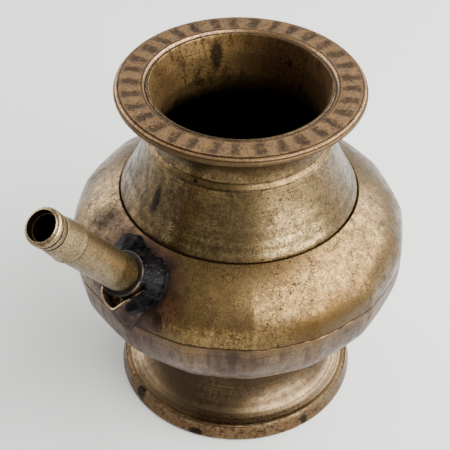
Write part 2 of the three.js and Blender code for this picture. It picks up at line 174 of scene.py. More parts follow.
def add(tree: NodeTree, kind: str, sockets: dict | None = None, **settings) -> Node:
    """Adds one node with its settings and its inputs.

    Args:
        tree: The node tree.
        kind: Blender's name of the node type.
        sockets: Input name or index to a value, a node's first output or a given output.
        **settings: Properties of the node.

    Returns:
        The new node.
    """
    node = tree.nodes.new(kind)
    for key, value in settings.items():
        setattr(node, key, value)
    for key, value in (sockets or {}).items():
        if isinstance(value, Node):
            value = value.outputs[0]
        if isinstance(value, NodeSocket):
            tree.links.new(value, node.inputs[key])
        else:
            node.inputs[key].default_value = value
    return node


@dataclass
class Dresser:
    """Turns a finish into a material whose patterns lie along a piece's own axis.

    The edges and levels say over which values of the noise a pattern comes up. A sway is a wobble, given by
    its size, or by its size and its reach.
    """

    finish: Finish
    lie: Lie
    cloud_edge: float = 0.12
    pit_edge: float = 0.07
    pits_to_crowd: float = 14.0
    crowd_levels: Point = (0.36, 0.6)
    scratch_edge: Point = (0.02, 0.004)
    scratches_to_patch: float = 9.0
    patch_levels: Point = (0.45, 0.6)
    noise_roughness: float = 0.6
    turning_edge: float = 0.1
    turning_sway: float = 9.0
    least_spot_sway: float = 0.8
    ring_sway: float = 4.0
    band_sway: Point = (5.0, 1.5)
    stroke_sway: Point = (9.0, 0.035)
    stroke_rough: Point = (3.0, 0.45)
    stroke_edge: Point = (-0.6, 0.9)
    node: Callable[..., Node] = field(init=False)
    place: Node = field(init=False)
    split: Node = field(init=False)
    radius: NodeSocket = field(init=False)

    def material(self) -> Material:
        """Builds the material.

        Returns:
            The finished material.
        """
        material = bpy.data.materials.new(self.finish.name)
        material.use_nodes = True
        material.node_tree.nodes.clear()
        self.node = partial(add, material.node_tree)
        if self.finish.layers:
            self.lay_axes()
        paint, gloss, height = linear(self.finish.colour), self.finish.roughness, 0.0
        for layer in self.finish.layers:
            mask = self.mask(layer)
            share = self.node(MATH, {0: mask, 1: layer.opacity}, operation="MULTIPLY")
            sockets = {0: share, 6: paint, 7: linear(layer.colour)}
            paint = self.node("ShaderNodeMix", sockets, data_type="RGBA").outputs[2]
            if layer.gloss:
                sockets = {0: mask, 1: layer.gloss, 2: gloss}
                gloss = self.node(MATH, sockets, operation="MULTIPLY_ADD")
            if layer.rise:
                sockets = {0: mask, 1: layer.rise * MM, 2: height}
                height = self.node(MATH, sockets, operation="MULTIPLY_ADD")
        shader = {"Base Color": paint, "Roughness": gloss, "Metallic": self.finish.metallic,
                  "Specular IOR Level": self.finish.shine}
        if height:
            shader["Normal"] = self.node("ShaderNodeBump", {"Height": height, "Distance": 1.0})
        surface = self.node("ShaderNodeBsdfPrincipled", shader)
        self.node("ShaderNodeOutputMaterial", {"Surface": surface})
        return material

    def lay_axes(self) -> None:
        """Makes the nodes that give a point in millimetres along the piece's own axis."""
        where = self.node("ShaderNodeTexCoord")
        foot = [value * MM for value in self.lie.foot]
        moved = self.node(VECTOR, {0: where.outputs["Object"], 1: foot}, operation="SUBTRACT")
        turn = {"Vector": moved, "Axis": (0.0, 1.0, 0.0), "Angle": -self.lie.tilt}
        upright = self.node("ShaderNodeVectorRotate", turn, rotation_type="AXIS_ANGLE")
        self.place = self.node(VECTOR, {0: upright, "Scale": 1 / MM}, operation="SCALE")
        self.split = self.node("ShaderNodeSeparateXYZ", {0: self.place})
        flat = self.node(VECTOR, {0: self.place, 1: (1.0, 1.0, 0.0)}, operation="MULTIPLY")
        self.radius = self.node(VECTOR, {0: flat}, operation="LENGTH").outputs["Value"]

    def ramp(self, value: Node | NodeSocket, low: float, high: float) -> Node:
        """Eases a value from nought at low to one at high, or the other way where high is the lower.

        Args:
            value: What is eased.
            low: Where the result is nought.
            high: Where the result is one.

        Returns:
            The node that gives the result.
        """
        ends = (low, high, 0.0, 1.0) if low < high else (high, low, 1.0, 0.0)
        sockets = {0: value, 1: ends[0], 2: ends[1], 3: ends[2], 4: ends[3]}
        return self.node("ShaderNodeMapRange", sockets, interpolation_type="SMOOTHSTEP")

    def clouds(self, size: float, stretch: Triple, detail: float) -> Node:
        """Noise with features of a size.

        Args:
            size: Size of the features.
            stretch: Scale along the piece's own axes.
            detail: Octaves of the noise.

        Returns:
            The noise node.
        """
        scaled = self.node(VECTOR, {0: self.place, 1: stretch}, operation="MULTIPLY")
        sockets = {"Vector": scaled, "Scale": 1 / size, "Detail": detail,
                   "Roughness": self.noise_roughness}
        return self.node("ShaderNodeTexNoise", sockets)

    def mask(self, layer: Layer) -> Node:
        """Draws a layer's mask.

        Args:
            layer: The layer.

        Returns:
            A node whose output is one where the layer is fullest.
        """
        draw: dict[Pattern, Callable[[Layer], Node]] = {
            Pattern.CLOUDS: self.clouds_mask,
            Pattern.PITS: self.pits_mask,
            Pattern.SCRATCHES: self.scratches_mask,
            Pattern.TURNING: self.turning_mask,
            Pattern.SPOT: self.spot_mask,
            Pattern.RING: self.ring_mask,
            Pattern.BAND: self.band_mask,
            Pattern.STROKES: self.strokes_mask,
        }
        drawn = draw[layer.pattern](layer)
        if layer.within is None:
            return drawn
        return self.node(MATH, {0: drawn, 1: self.mask(layer.within)}, operation="MULTIPLY")

    def clouds_mask(self, layer: Layer) -> Node:
        """Soft uneven patches."""
        cloud = self.clouds(layer.size, layer.stretch, 5.0)
        return self.ramp(cloud, layer.level - self.cloud_edge, layer.level + self.cloud_edge)

    def pits_mask(self, layer: Layer) -> Node:
        """Small dark pits that crowd together here and there.

        Args:
            layer: The layer.

        Returns:
            Its mask.
        """
        specks = self.clouds(layer.size, layer.stretch, 2.0)
        speck = self.ramp(specks, layer.level, layer.level + self.pit_edge)
        crowd = self.ramp(self.clouds(layer.size * self.pits_to_crowd, EVEN, 3.0), *self.crowd_levels)
        return self.node(MATH, {0: speck, 1: crowd}, operation="MULTIPLY")

    def scratches_mask(self, layer: Layer) -> Node:
        """Thin lines along the stretched direction, broken up by soft patches.

        Args:
            layer: The layer.

        Returns:
            Its mask.
        """
        grain = self.clouds(layer.size, layer.stretch, 3.0)
        off = self.node(MATH, {0: grain, 1: layer.level}, operation="SUBTRACT")
        near = self.node(MATH, {0: off}, operation="ABSOLUTE")
        line = self.ramp(near, *self.scratch_edge)
        patch = self.ramp(self.clouds(layer.size * self.scratches_to_patch, EVEN, 2.0), *self.patch_levels)
        return self.node(MATH, {0: line, 1: patch}, operation="MULTIPLY")

    def turning_mask(self, layer: Layer) -> Node:
        """Fine rings left by the lathe.

        Args:
            layer: The layer.

        Returns:
            Its mask.
        """
        along = self.node(MATH, {0: self.radius, 1: self.split.outputs["Z"]}, operation="ADD")
        if layer.reach:
            stray = self.wobble(self.turning_sway, layer.reach)
            along = self.node(MATH, {0: along, 1: stray}, operation="ADD")
        sockets = {"W": along, "Scale": 1 / layer.size, "Detail": 2.0}
        lines = self.node("ShaderNodeTexNoise", sockets, noise_dimensions="1D")
        return self.ramp(lines, layer.level - self.turning_edge, layer.level + self.turning_edge)

    def wobble(self, size: float, reach: float) -> Node:
        """Noise about nought.

        Args:
            size: Size of its features.
            reach: How far it strays from nought.

        Returns:
            The node that gives the wobble.
        """
        cloud = self.clouds(size, EVEN, 4.0)
        off = self.node(MATH, {0: cloud, 1: 0.5}, operation="SUBTRACT")
        return self.node(MATH, {0: off, 1: 4 * reach}, operation="MULTIPLY")

    def spot_mask(self, layer: Layer) -> Node:
        """One stain about a place, with an uneven edge.

        Args:
            layer: The layer.

        Returns:
            Its mask.
        """
        offset = self.node(VECTOR, {0: self.place, 1: layer.place}, operation="SUBTRACT")
        scaled = self.node(VECTOR, {0: offset, 1: layer.stretch}, operation="MULTIPLY")
        distance = self.node(VECTOR, {0: scaled}, operation="LENGTH").outputs["Value"]
        stray = self.wobble(max(layer.reach / 2, self.least_spot_sway), layer.reach / 4)
        uneven = self.node(MATH, {0: distance, 1: stray}, operation="ADD")
        return self.ramp(uneven, layer.reach + layer.size / 2, layer.reach - layer.size / 2)

    def ring_mask(self, layer: Layer) -> Node:
        """A line round the axis at a radius and a height.

        Args:
            layer: The layer.

        Returns:
            Its mask.
        """
        radial = self.node(MATH, {0: self.radius, 1: layer.place[0]}, operation="SUBTRACT")
        upward = self.node(MATH, {0: self.split.outputs["Z"], 1: layer.place[1]}, operation="SUBTRACT")
        pair = self.node("ShaderNodeCombineXYZ", {0: radial, 1: upward})
        distance = self.node(VECTOR, {0: pair}, operation="LENGTH").outputs["Value"]
        stray = self.wobble(self.ring_sway, layer.size / 5)
        uneven = self.node(MATH, {0: distance, 1: stray}, operation="ADD")
        return self.ramp(uneven, layer.size, layer.size / 4)

    def band_mask(self, layer: Layer) -> Node:
        """Everything between two heights, with uneven edges.

        Args:
            layer: The layer.

        Returns:
            Its mask.
        """
        size, reach = self.band_sway
        stray = self.wobble(size, min(layer.size / 2, reach))
        uneven = self.node(MATH, {0: self.split.outputs["Z"], 1: stray}, operation="ADD")
        over = self.ramp(uneven, layer.place[0] - layer.size / 2, layer.place[0] + layer.size / 2)
        under = self.ramp(uneven, layer.place[1] + layer.size / 2, layer.place[1] - layer.size / 2)
        return self.node(MATH, {0: over, 1: under}, operation="MULTIPLY")

    def strokes_mask(self, layer: Layer) -> Node:
        """Soft radial strokes that fade before the edges of a flat ring.

        Args:
            layer: The layer.

        Returns:
            Its mask.
        """
        angle = self.node(MATH, {0: self.split.outputs["Y"], 1: self.split.outputs["X"]}, operation="ARCTAN2")
        swayed = self.node(MATH, {0: angle, 1: self.wobble(*self.stroke_sway)}, operation="ADD")
        turns = self.node(MATH, {0: swayed, 1: layer.reach}, operation="MULTIPLY")
        wave = self.node(MATH, {0: turns}, operation="COSINE")
        rough = self.node(MATH, {0: wave, 1: self.wobble(*self.stroke_rough)}, operation="ADD")
        stroke = self.ramp(rough, layer.level + self.stroke_edge[0], layer.level + self.stroke_edge[1])
        outer = self.ramp(self.radius, layer.place[1], layer.place[1] - layer.size)
        inner = self.ramp(self.radius, layer.place[0], layer.place[0] + layer.size)
        window = self.node(MATH, {0: outer, 1: inner}, operation="MULTIPLY")
        return self.node(MATH, {0: stroke, 1: window}, operation="MULTIPLY")


def waver(place: Vector, waves: Waves) -> float:
    """Smooth noise at a place, summed over waves that each have a depth and a pitch."""
    return sum(depth * noise.noise(place * pitch) for depth, pitch in waves)


def facing(azimuth: float, elevation: float) -> Vector:
    """The direction from the pot at an azimuth and an elevation in degrees, as the camera's are given."""
    around, up = math.radians(azimuth), math.radians(elevation)
    return Vector((math.sin(around) * math.cos(up), -math.cos(around) * math.cos(up), math.sin(up)))


def ways(count: int) -> list[tuple[float, Vector]]:
    """Evenly spread directions round an axis, each as its angle and its unit vector."""
    angles = [2 * math.pi * i / count for i in range(count)]
    return [(angle, Vector((math.cos(angle), math.sin(angle), 0.0))) for angle in angles]


def eased(value: float, low: float, high: float) -> float:
    """Smooth step of a value from nought at low to one at high."""
    share = min(max((value - low) / (high - low), 0.0), 1.0)
    return share * share * (3 - 2 * share)


def spread(start: float, end: float, count: int) -> list[float]:
    """Evenly spread values, with both ends."""
    return [start + (end - start) * i / count for i in range(count + 1)]


def rounded(points: list[Point], radius: float, turn: float = 0.3) -> list[Point]:
    """Rounds the corners of a closed outline.

    Args:
        points: The outline, as radius and height.
        radius: How far the rounding reaches along each side of a corner.
        turn: Bend in radians below which a corner is left as it is.

    Returns:
        The outline with short curves for its corners.
    """
    made: list[Point] = []
    for i, corner in enumerate(points):
        here = Vector(corner)
        back = Vector(points[i - 1]) - here
        on = Vector(points[(i + 1) % len(points)]) - here
        if here.x < radius or back.length < TINY or on.length < TINY or math.pi - back.angle(on) < turn:
            made.append(corner)
            continue
        start = here + back.normalized() * min(radius, back.length * 0.45)
        end = here + on.normalized() * min(radius, on.length * 0.45)
        for share in spread(0, 1, 4):
            curve = start * (1 - share) ** 2 + here * 2 * share * (1 - share) + end * share ** 2
            made.append((curve.x, curve.y))
    return made


def divided(points: list[Point], longest: float, closed: bool) -> list[Point]:
    """Divides the sides of an outline so that none is longer than a length.

    Args:
        points: The outline.
        longest: The greatest length of a side.
        closed: Whether the last point joins the first.

    Returns:
        The outline with more points.
    """
    made: list[Point] = []
    ends = points[1:] + (points[:1] if closed else [])
    for start, end in zip(points, ends):
        count = max(1, math.ceil((Vector(end) - Vector(start)).length / longest))
        made += [(start[0] + (end[0] - start[0]) * i / count, start[1] + (end[1] - start[1]) * i / count)
                 for i in range(count)]
    return made if closed else made + [points[-1]]


def worked(outline: list[Point], rounding: float, facet: float) -> list[Point]:
    """A closed outline with its corners rounded and its long sides divided."""
    return divided(rounded(outline, rounding), facet, True)


def plain_ring(inner: float, outer: float, low: float, high: float) -> list[Point]:
    """The outline of a plain ring between two radii and two heights."""
    return [(inner, low), (outer, low), (outer, high), (inner, high)]


def groove(radius: float, height: float, width: float, depth: float) -> list[Point]:
    """A round-bottomed line cut into an upright wall, listed upwards."""
    return [(radius - depth * math.sin(math.pi * share), height + width * (share - 0.5))
            for share in spread(0, 1, 8)]


def solid(name: str, places: list[Vector], faces: list[tuple[int, ...]], lie: Lie) -> Object:
    """Makes a smooth-shaded object at the origin from points given in a piece's own millimetres.

    Args:
        name: The object's name.
        places: The points.
        faces: The faces, as indices of points.
        lie: Where the piece's own axis lies.

    Returns:
        The object, linked to the scene.
    """
    matrix = lie.matrix()
    mesh = bpy.data.meshes.new(name)
    mesh.from_pydata([matrix @ place for place in places], [], faces)
    mesh.validate()
    mesh.shade_smooth()
    piece = bpy.data.objects.new(name, mesh)
    bpy.context.scene.collection.objects.link(piece)
    return piece


def turned(name: str, outline: list[Point], lie: Lie, segments: int) -> Object:
    """Turns an outline round a piece's own axis. The outline runs up the outside.

    Args:
        name: The object's name.
        outline: Points of radius and height, closed unless both ends lie on the axis.
        lie: Where the axis lies.
        segments: How many flats make the circle.

    Returns:
        The turned object.
    """
    closed = outline[0][0] > TINY
    places: list[Vector] = []
    rings: list[list[int]] = []
    for radius, height in outline:
        count = segments if radius > TINY else 1
        rings.append([len(places) + i for i in range(count)])
        angles = [2 * math.pi * i / segments for i in range(count)]
        places += [Vector((radius * math.cos(a), radius * math.sin(a), height)) for a in angles]
    faces: list[tuple[int, ...]] = []
    for low, high in zip(rings, rings[1:] + (rings[:1] if closed else [])):
        for i in range(segments):
            j = (i + 1) % segments
            corners = [low[i % len(low)], low[j % len(low)], high[j % len(high)], high[i % len(high)]]
            faces.append(tuple(dict.fromkeys(corners)))
    return solid(name, places, faces, lie)


def skinned(name: str, rings: list[list[Vector]], lie: Lie, closed: bool = True) -> Object:
    """Skins rings of points that each have as many points.

    Args:
        name: The object's name.
        rings: The rings, each anticlockwise about the piece's own axis, listed up the outside.
        lie: Where the axis lies.
        closed: Whether the last ring joins the first.

    Returns:
        The skinned object.
    """
    count = len(rings[0])
    faces = []
    for i in range(len(rings) if closed else len(rings) - 1):
        low, high = i * count, (i + 1) % len(rings) * count
        faces += [(low + j, low + (j + 1) % count, high + (j + 1) % count, high + j) for j in range(count)]
    return solid(name, [place for ring in rings for place in ring], faces, lie)


def swept(name: str, section_of: Callable[[Vector], list[Point]], lie: Lie, segments: int) -> Object:
    """Skins a section that changes on its way round a piece's own axis.

    Args:
        name: The object's name.
        section_of: Gives the section in a direction, as radius and height, up the outside.
        lie: Where the axis lies.
        segments: How many sections make the circle.

    Returns:
        The skinned object.
    """
    sections = [[way * r + Vector((0, 0, z)) for r, z in section_of(way)] for _, way in ways(segments)]
    return skinned(name, [list(row) for row in zip(*sections)], lie)


def applied(piece: Object) -> Object:
    """Turns what a piece's modifiers make into its own plain mesh, and removes them.

    Args:
        piece: The piece.

    Returns:
        The same piece.
    """
    graph = bpy.context.evaluated_depsgraph_get()
    made = bpy.data.meshes.new_from_object(piece.evaluated_get(graph))
    piece.modifiers.clear()
    piece.data = made
    return piece


def grown(piece: Object, tree: NodeTree, values: dict) -> Object:
    """Runs a node tree on a piece and keeps the result as its mesh.

    Args:
        piece: The piece.
        tree: The geometry tree.
        values: Value of each named input.

    Returns:
        The same piece with its new mesh.
    """
    modifier = piece.modifiers.new(tree.name, "NODES")
    modifier.node_group = tree
    sockets = {item.name: item for item in tree.interface.items_tree if item.item_type == "SOCKET"}
    for name, value in values.items():
        modifier[sockets[name].identifier] = value
    return applied(piece)


def geometry_tree(name: str, inputs: dict[str, str]) -> tuple[NodeTree, Node, Node]:
    """Starts a geometry tree with named inputs, the finish among them.

    Args:
        name: The tree's name.
        inputs: Name of each input to its kind of socket.

    Returns:
        The tree, its input node and its output node.
    """
    tree = bpy.data.node_groups.new(name, "GeometryNodeTree")
    for label, kind in ({"Geometry": "Geometry"} | inputs | {"Finish": "Material"}).items():
        tree.interface.new_socket(label, in_out="INPUT", socket_type="NodeSocket" + kind)
    tree.interface.new_socket("Geometry", in_out="OUTPUT", socket_type="NodeSocketGeometry")
    return tree, add(tree, "NodeGroupInput"), add(tree, "NodeGroupOutput")


def about_axis(tree: NodeTree, start: Node) -> tuple[Node, Node, Node]:
    """Adds the nodes that place a point about the pot's axis.

    Args:
        tree: The geometry tree.
        start: Its input node, which gives the axis.

    Returns:
        The nodes that give the place, its three parts and its angle round the axis.
    """
    node = partial(add, tree)
    axis = node("ShaderNodeCombineXYZ", {0: start.outputs["Axis X"]})
    place = node(VECTOR, {0: node("GeometryNodeInputPosition"), 1: axis}, operation="SUBTRACT")
    parts = node("ShaderNodeSeparateXYZ", {0: place})
    angle = node(MATH, {0: parts.outputs["Y"], 1: parts.outputs["X"]}, operation="ARCTAN2")
    return place, parts, angle


def lead_out(tree: NodeTree, made: Node, start: Node, end: Node) -> NodeTree:
    """Realizes what a tree makes, sets its finish and leads it to the tree's output.

    Args:
        tree: The geometry tree.
        made: The node that gives the geometry.
        start: The tree's input node, which gives the finish.
        end: The tree's output node.

    Returns:
        The tree.
    """
    real = add(tree, "GeometryNodeRealizeInstances", {"Geometry": made})
    smooth = add(tree, "GeometryNodeSetShadeSmooth", {"Geometry": real})
    dress = {"Geometry": smooth, "Material": start.outputs["Finish"]}
    tree.links.new(add(tree, "GeometryNodeSetMaterial", dress).outputs[0], end.inputs[0])
    return tree


def planishing_tree() -> NodeTree:
    """Builds the tree that beats soft upright panels into a turned body and leaves it a little uneven.

    Returns:
        The geometry tree.
    """
    sizes = ("Axis X", "Panels", "Panel Depth", "Fade", "Low", "High", "Hammer Depth", "Hammer Size", "Seed")
    tree, start, end = geometry_tree("planishing", dict.fromkeys(sizes, "Float"))
    node, given = partial(add, tree), start.outputs
    place, parts, angle = about_axis(tree, start)
    share = node(MATH, {0: angle, 1: 2 * math.pi}, operation="DIVIDE")
    turn = node(MATH, {0: share, 1: given["Panels"]}, operation="MULTIPLY")
    across = node(MATH, {0: turn}, operation="FRACT")
    middle = node(MATH, {0: across, 1: 2.0, 2: -1.0}, operation="MULTIPLY_ADD")
    squared = node(MATH, {0: middle, 1: middle}, operation="MULTIPLY")
    hollow = node(MATH, {0: 1.0, 1: squared}, operation="SUBTRACT")
    over = node(MATH, {0: given["High"], 1: parts.outputs["Z"]}, operation="SUBTRACT")
    under = node(MATH, {0: parts.outputs["Z"], 1: given["Low"]}, operation="SUBTRACT")
    room = node(MATH, {0: over, 1: under}, operation="MINIMUM")
    fade = node("ShaderNodeMapRange", {0: room, 1: 0.0, 2: given["Fade"]}, interpolation_type="SMOOTHSTEP")
    depth = node(MATH, {0: hollow, 1: given["Panel Depth"]}, operation="MULTIPLY")
    pitch = node(MATH, {0: 1.0, 1: given["Hammer Size"]}, operation="DIVIDE")
    blows = {"Vector": place, "W": given["Seed"], "Scale": pitch, "Detail": 1.0}
    blow = node("ShaderNodeTexNoise", blows, noise_dimensions="4D")
    uneven = node(MATH, {0: blow, 1: given["Hammer Depth"]}, operation="MULTIPLY")
    inward = node(MATH, {0: depth, 1: uneven}, operation="ADD")
    faded = node(MATH, {0: inward, 1: fade}, operation="MULTIPLY")
    flat = node(VECTOR, {0: place, 1: (-1.0, -1.0, 0.0)}, operation="MULTIPLY")
    toward = node(VECTOR, {0: flat}, operation="NORMALIZE")
    shift = node(VECTOR, {0: toward, "Scale": faded}, operation="SCALE")
    moved = node("GeometryNodeSetPosition", {"Geometry": given["Geometry"], "Offset": shift})
    return lead_out(tree, moved, start, end)


def stroke_tree() -> NodeTree:
    """Builds the tree that presses shallow radial strokes into a flat ring.

    Returns:
        The geometry tree.
    """
    sizes = ("Axis X", "Strokes", "Depth", "Inner Radius", "Outer Radius", "Face Height", "Edge")
    tree, start, end = geometry_tree("rim_strokes", dict.fromkeys(sizes, "Float"))
    node, given = partial(add, tree), start.outputs
    place, parts, angle = about_axis(tree, start)
    turns = node(MATH, {0: angle, 1: given["Strokes"]}, operation="MULTIPLY")
    wave = node(MATH, {0: turns}, operation="COSINE")
    stroke = node("ShaderNodeMapRange", {0: wave, 1: 0.0, 2: 1.0}, interpolation_type="SMOOTHSTEP")
    flat = node(VECTOR, {0: place, 1: (1.0, 1.0, 0.0)}, operation="MULTIPLY")
    radius = node(VECTOR, {0: flat}, operation="LENGTH").outputs["Value"]
    inside = node(MATH, {0: radius, 1: given["Inner Radius"]}, operation="SUBTRACT")
    outside = node(MATH, {0: given["Outer Radius"], 1: radius}, operation="SUBTRACT")
    room = node(MATH, {0: inside, 1: outside}, operation="MINIMUM")
    window = node("ShaderNodeMapRange", {0: room, 1: 0.0, 2: given["Edge"]}, interpolation_type="SMOOTHSTEP")
    top = node(MATH, {0: parts.outputs["Z"], 1: given["Face Height"]}, operation="GREATER_THAN")
    pressed = node(MATH, {0: stroke, 1: window}, operation="MULTIPLY")
    shown = node(MATH, {0: pressed, 1: top}, operation="MULTIPLY")
    depth = node(MATH, {0: shown, 1: given["Depth"]}, operation="MULTIPLY")
    down = node(MATH, {0: depth, 1: -1.0}, operation="MULTIPLY")
    shift = node("ShaderNodeCombineXYZ", {2: down})
    moved = node("GeometryNodeSetPosition", {"Geometry": given["Geometry"], "Offset": shift})
    return lead_out(tree, moved, start, end)


def scattering_tree() -> NodeTree:
    """Builds the tree that leaves small uneven lumps on a surface, such as solder drops or crumbs.

    Returns:
        The geometry tree.
    """
    sizes = dict.fromkeys(("Density", "Smallest", "Largest", "Flatness"), "Float")
    tree, start, end = geometry_tree("scattering", sizes | {"Seed": "Int", "Keep Surface": "Bool"})
    node, given = partial(add, tree), start.outputs
    strewn = {"Mesh": given["Geometry"], "Density": given["Density"], "Seed": given["Seed"]}
    points = node("GeometryNodeDistributePointsOnFaces", strewn)
    lump = node("GeometryNodeMeshIcoSphere", {"Radius": 1.0, "Subdivisions": 2})
    place = node("GeometryNodeInputPosition")
    dent = node("ShaderNodeTexNoise", {"Vector": place, "Scale": 1.3, "Detail": 2.0})
    uneven = node(MATH, {0: dent, 1: 0.7, 2: 0.5}, operation="MULTIPLY_ADD")
    shaped = node(VECTOR, {0: place, "Scale": uneven}, operation="SCALE")
    rough = node("GeometryNodeSetPosition", {"Geometry": lump, "Position": shaped})
    size = {2: given["Smallest"], 3: given["Largest"], "Seed": given["Seed"]}
    random = node("FunctionNodeRandomValue", size, data_type="FLOAT").outputs[1]
    low = node(MATH, {0: random, 1: given["Flatness"]}, operation="MULTIPLY")
    scale = node("ShaderNodeCombineXYZ", {0: random, 1: random, 2: low})
    placed = {"Points": points, "Instance": rough, "Rotation": points.outputs["Rotation"], "Scale": scale}
    lumps = node("GeometryNodeInstanceOnPoints", placed)
    both = node("GeometryNodeJoinGeometry", {0: lumps})
    tree.links.new(given["Geometry"], both.inputs[0])
    kept = {"False": lumps, "True": both, "Switch": given["Keep Surface"]}
    chosen = node("GeometryNodeSwitch", kept, input_type="GEOMETRY")
    return lead_out(tree, chosen, start, end)


def at(radius: float, degrees: float, height: float) -> Triple:
    """A place on the pot from its distance from the axis, its direction and its height."""
    angle = math.radians(degrees)
    return (radius * math.cos(angle), radius * math.sin(angle), height)


@dataclass(frozen=True)
class Levels:
    """Where the pot's axis stands and how high its joints lie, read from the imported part."""

    axis_x: float
    foot_top: float
    seat: float
    seam: float
    upper_foot: float
    shoulder: float
    neck_foot: float
    neck_top: float
    rim_low: float
    rim_top: float

    @classmethod
    def from_frame(cls) -> "Levels":
        """Reads the levels from the boxes of the part's nodes.

        Returns:
            The levels in millimetres.
        """
        low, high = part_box("rim_ring")
        return cls(
            axis_x=(low.x + high.x) / 2 / MM,
            foot_top=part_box("foot_ring")[1].z / MM,
            seat=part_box("foot_solder")[1].z / MM,
            seam=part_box("lower_bowl")[1].z / MM,
            upper_foot=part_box("upper_bowl")[0].z / MM,
            shoulder=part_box("upper_bowl")[1].z / MM,
            neck_foot=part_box("neck_collar")[0].z / MM,
            neck_top=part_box("neck_collar")[1].z / MM,
            rim_low=low.z / MM,
            rim_top=high.z / MM,
        )


def settle(piece: Object, slot: str, *nodes: str, finish: Material | None = None) -> None:
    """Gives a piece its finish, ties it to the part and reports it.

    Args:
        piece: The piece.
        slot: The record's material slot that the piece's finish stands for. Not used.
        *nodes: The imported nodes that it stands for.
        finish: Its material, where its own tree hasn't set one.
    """
    if finish:
        piece.data.materials.clear()
        piece.data.materials.append(finish)
    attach(piece, ROOT_BODY)
    if nodes:
        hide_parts(*nodes)
    LOG.info("%s: %d faces, for %s", piece.name, len(piece.data.polygons), ", ".join(nodes) or "itself")


def line_inside(piece: Object, finish: Material, inside: Callable[[MeshPolygon], bool]) -> None:
    """Gives some faces of a piece a finish of their own.

    Args:
        piece: The piece, with its outer finish set.
        finish: The other finish.
        inside: Tells whether a face takes it.
    """
    piece.data.materials.append(finish)
    for face in piece.data.polygons:
        if inside(face):
            face.material_index = len(piece.data.materials) - 1


def own_face(face: MeshPolygon, lie: Lie) -> tuple[Vector, Vector]:
    """A face's middle and normal, turned back to a piece's own axis."""
    back = lie.matrix().inverted()
    return back @ face.center, back.to_3x3().normalized() @ face.normal


def looks_inward(face: MeshPolygon, lie: Lie) -> bool:
    """Tells whether a face of a turned piece looks towards the piece's axis."""
    middle, way = own_face(face, lie)
    return way.dot(Vector((middle.x, middle.y, 0.0)).normalized()) < INWARD


@dataclass
class Foot:
    """The turned and waisted foot, open underneath."""

    levels: Levels
    lie: Lie
    radius: float = 51.4
    chamfer: float = 1.2
    flange_top_r: float = 49.9
    flange_h: float = 7.0
    line_w: float = 0.9
    line_d: float = 0.55
    waist_r: float = 35.6
    waist_drop: float = 6.5
    wall: float = 2.4
    bearing_w: float = 4.2
    rounding: float = 0.4
    facet: float = 0.8
    segments: int = 288

    def outline(self) -> list[Point]:
        """The foot's outline.

        Returns:
            Points of radius and height, up the outside and down the inside.
        """
        top = self.levels.foot_top
        cove_r = self.flange_top_r - self.line_w
        rise = top - self.waist_drop - self.flange_h
        cove = [(cove_r - (cove_r - self.waist_r) * math.cos(a), top - self.waist_drop - rise * math.sin(a))
                for a in spread(math.pi / 2, 0, 28)]
        bore = self.waist_r - self.wall
        return [
            (self.radius - self.chamfer / 2, 0.0),
            (self.radius, self.chamfer),
            (self.flange_top_r, self.flange_h),
            (self.flange_top_r - self.line_w / 2, self.flange_h - self.line_d),
            *cove,
            (self.waist_r, top),
            (bore, top),
            (bore, top - self.waist_drop),
            (self.waist_r, top / 2),
            (self.radius - self.bearing_w - self.wall, self.flange_h - self.wall),
            (self.radius - self.bearing_w, 0.0),
        ]

    def build(self) -> None:
        """Makes the foot and the thin layer of brazing on top of it."""
        outline = worked(self.outline(), self.rounding, self.facet)
        foot = turned("foot_turned", outline, self.lie, self.segments)
        settle(foot, "foot_brass", "foot_ring", finish=Dresser(FOOT_BRASS, self.lie).material())
        layer = plain_ring(self.waist_r - self.wall, self.waist_r, self.levels.foot_top, self.levels.seat)
        joint = turned("foot_joint", layer, self.lie, self.segments)
        settle(joint, "brazing", "foot_solder", finish=Dresser(BRAZING, self.lie).material())


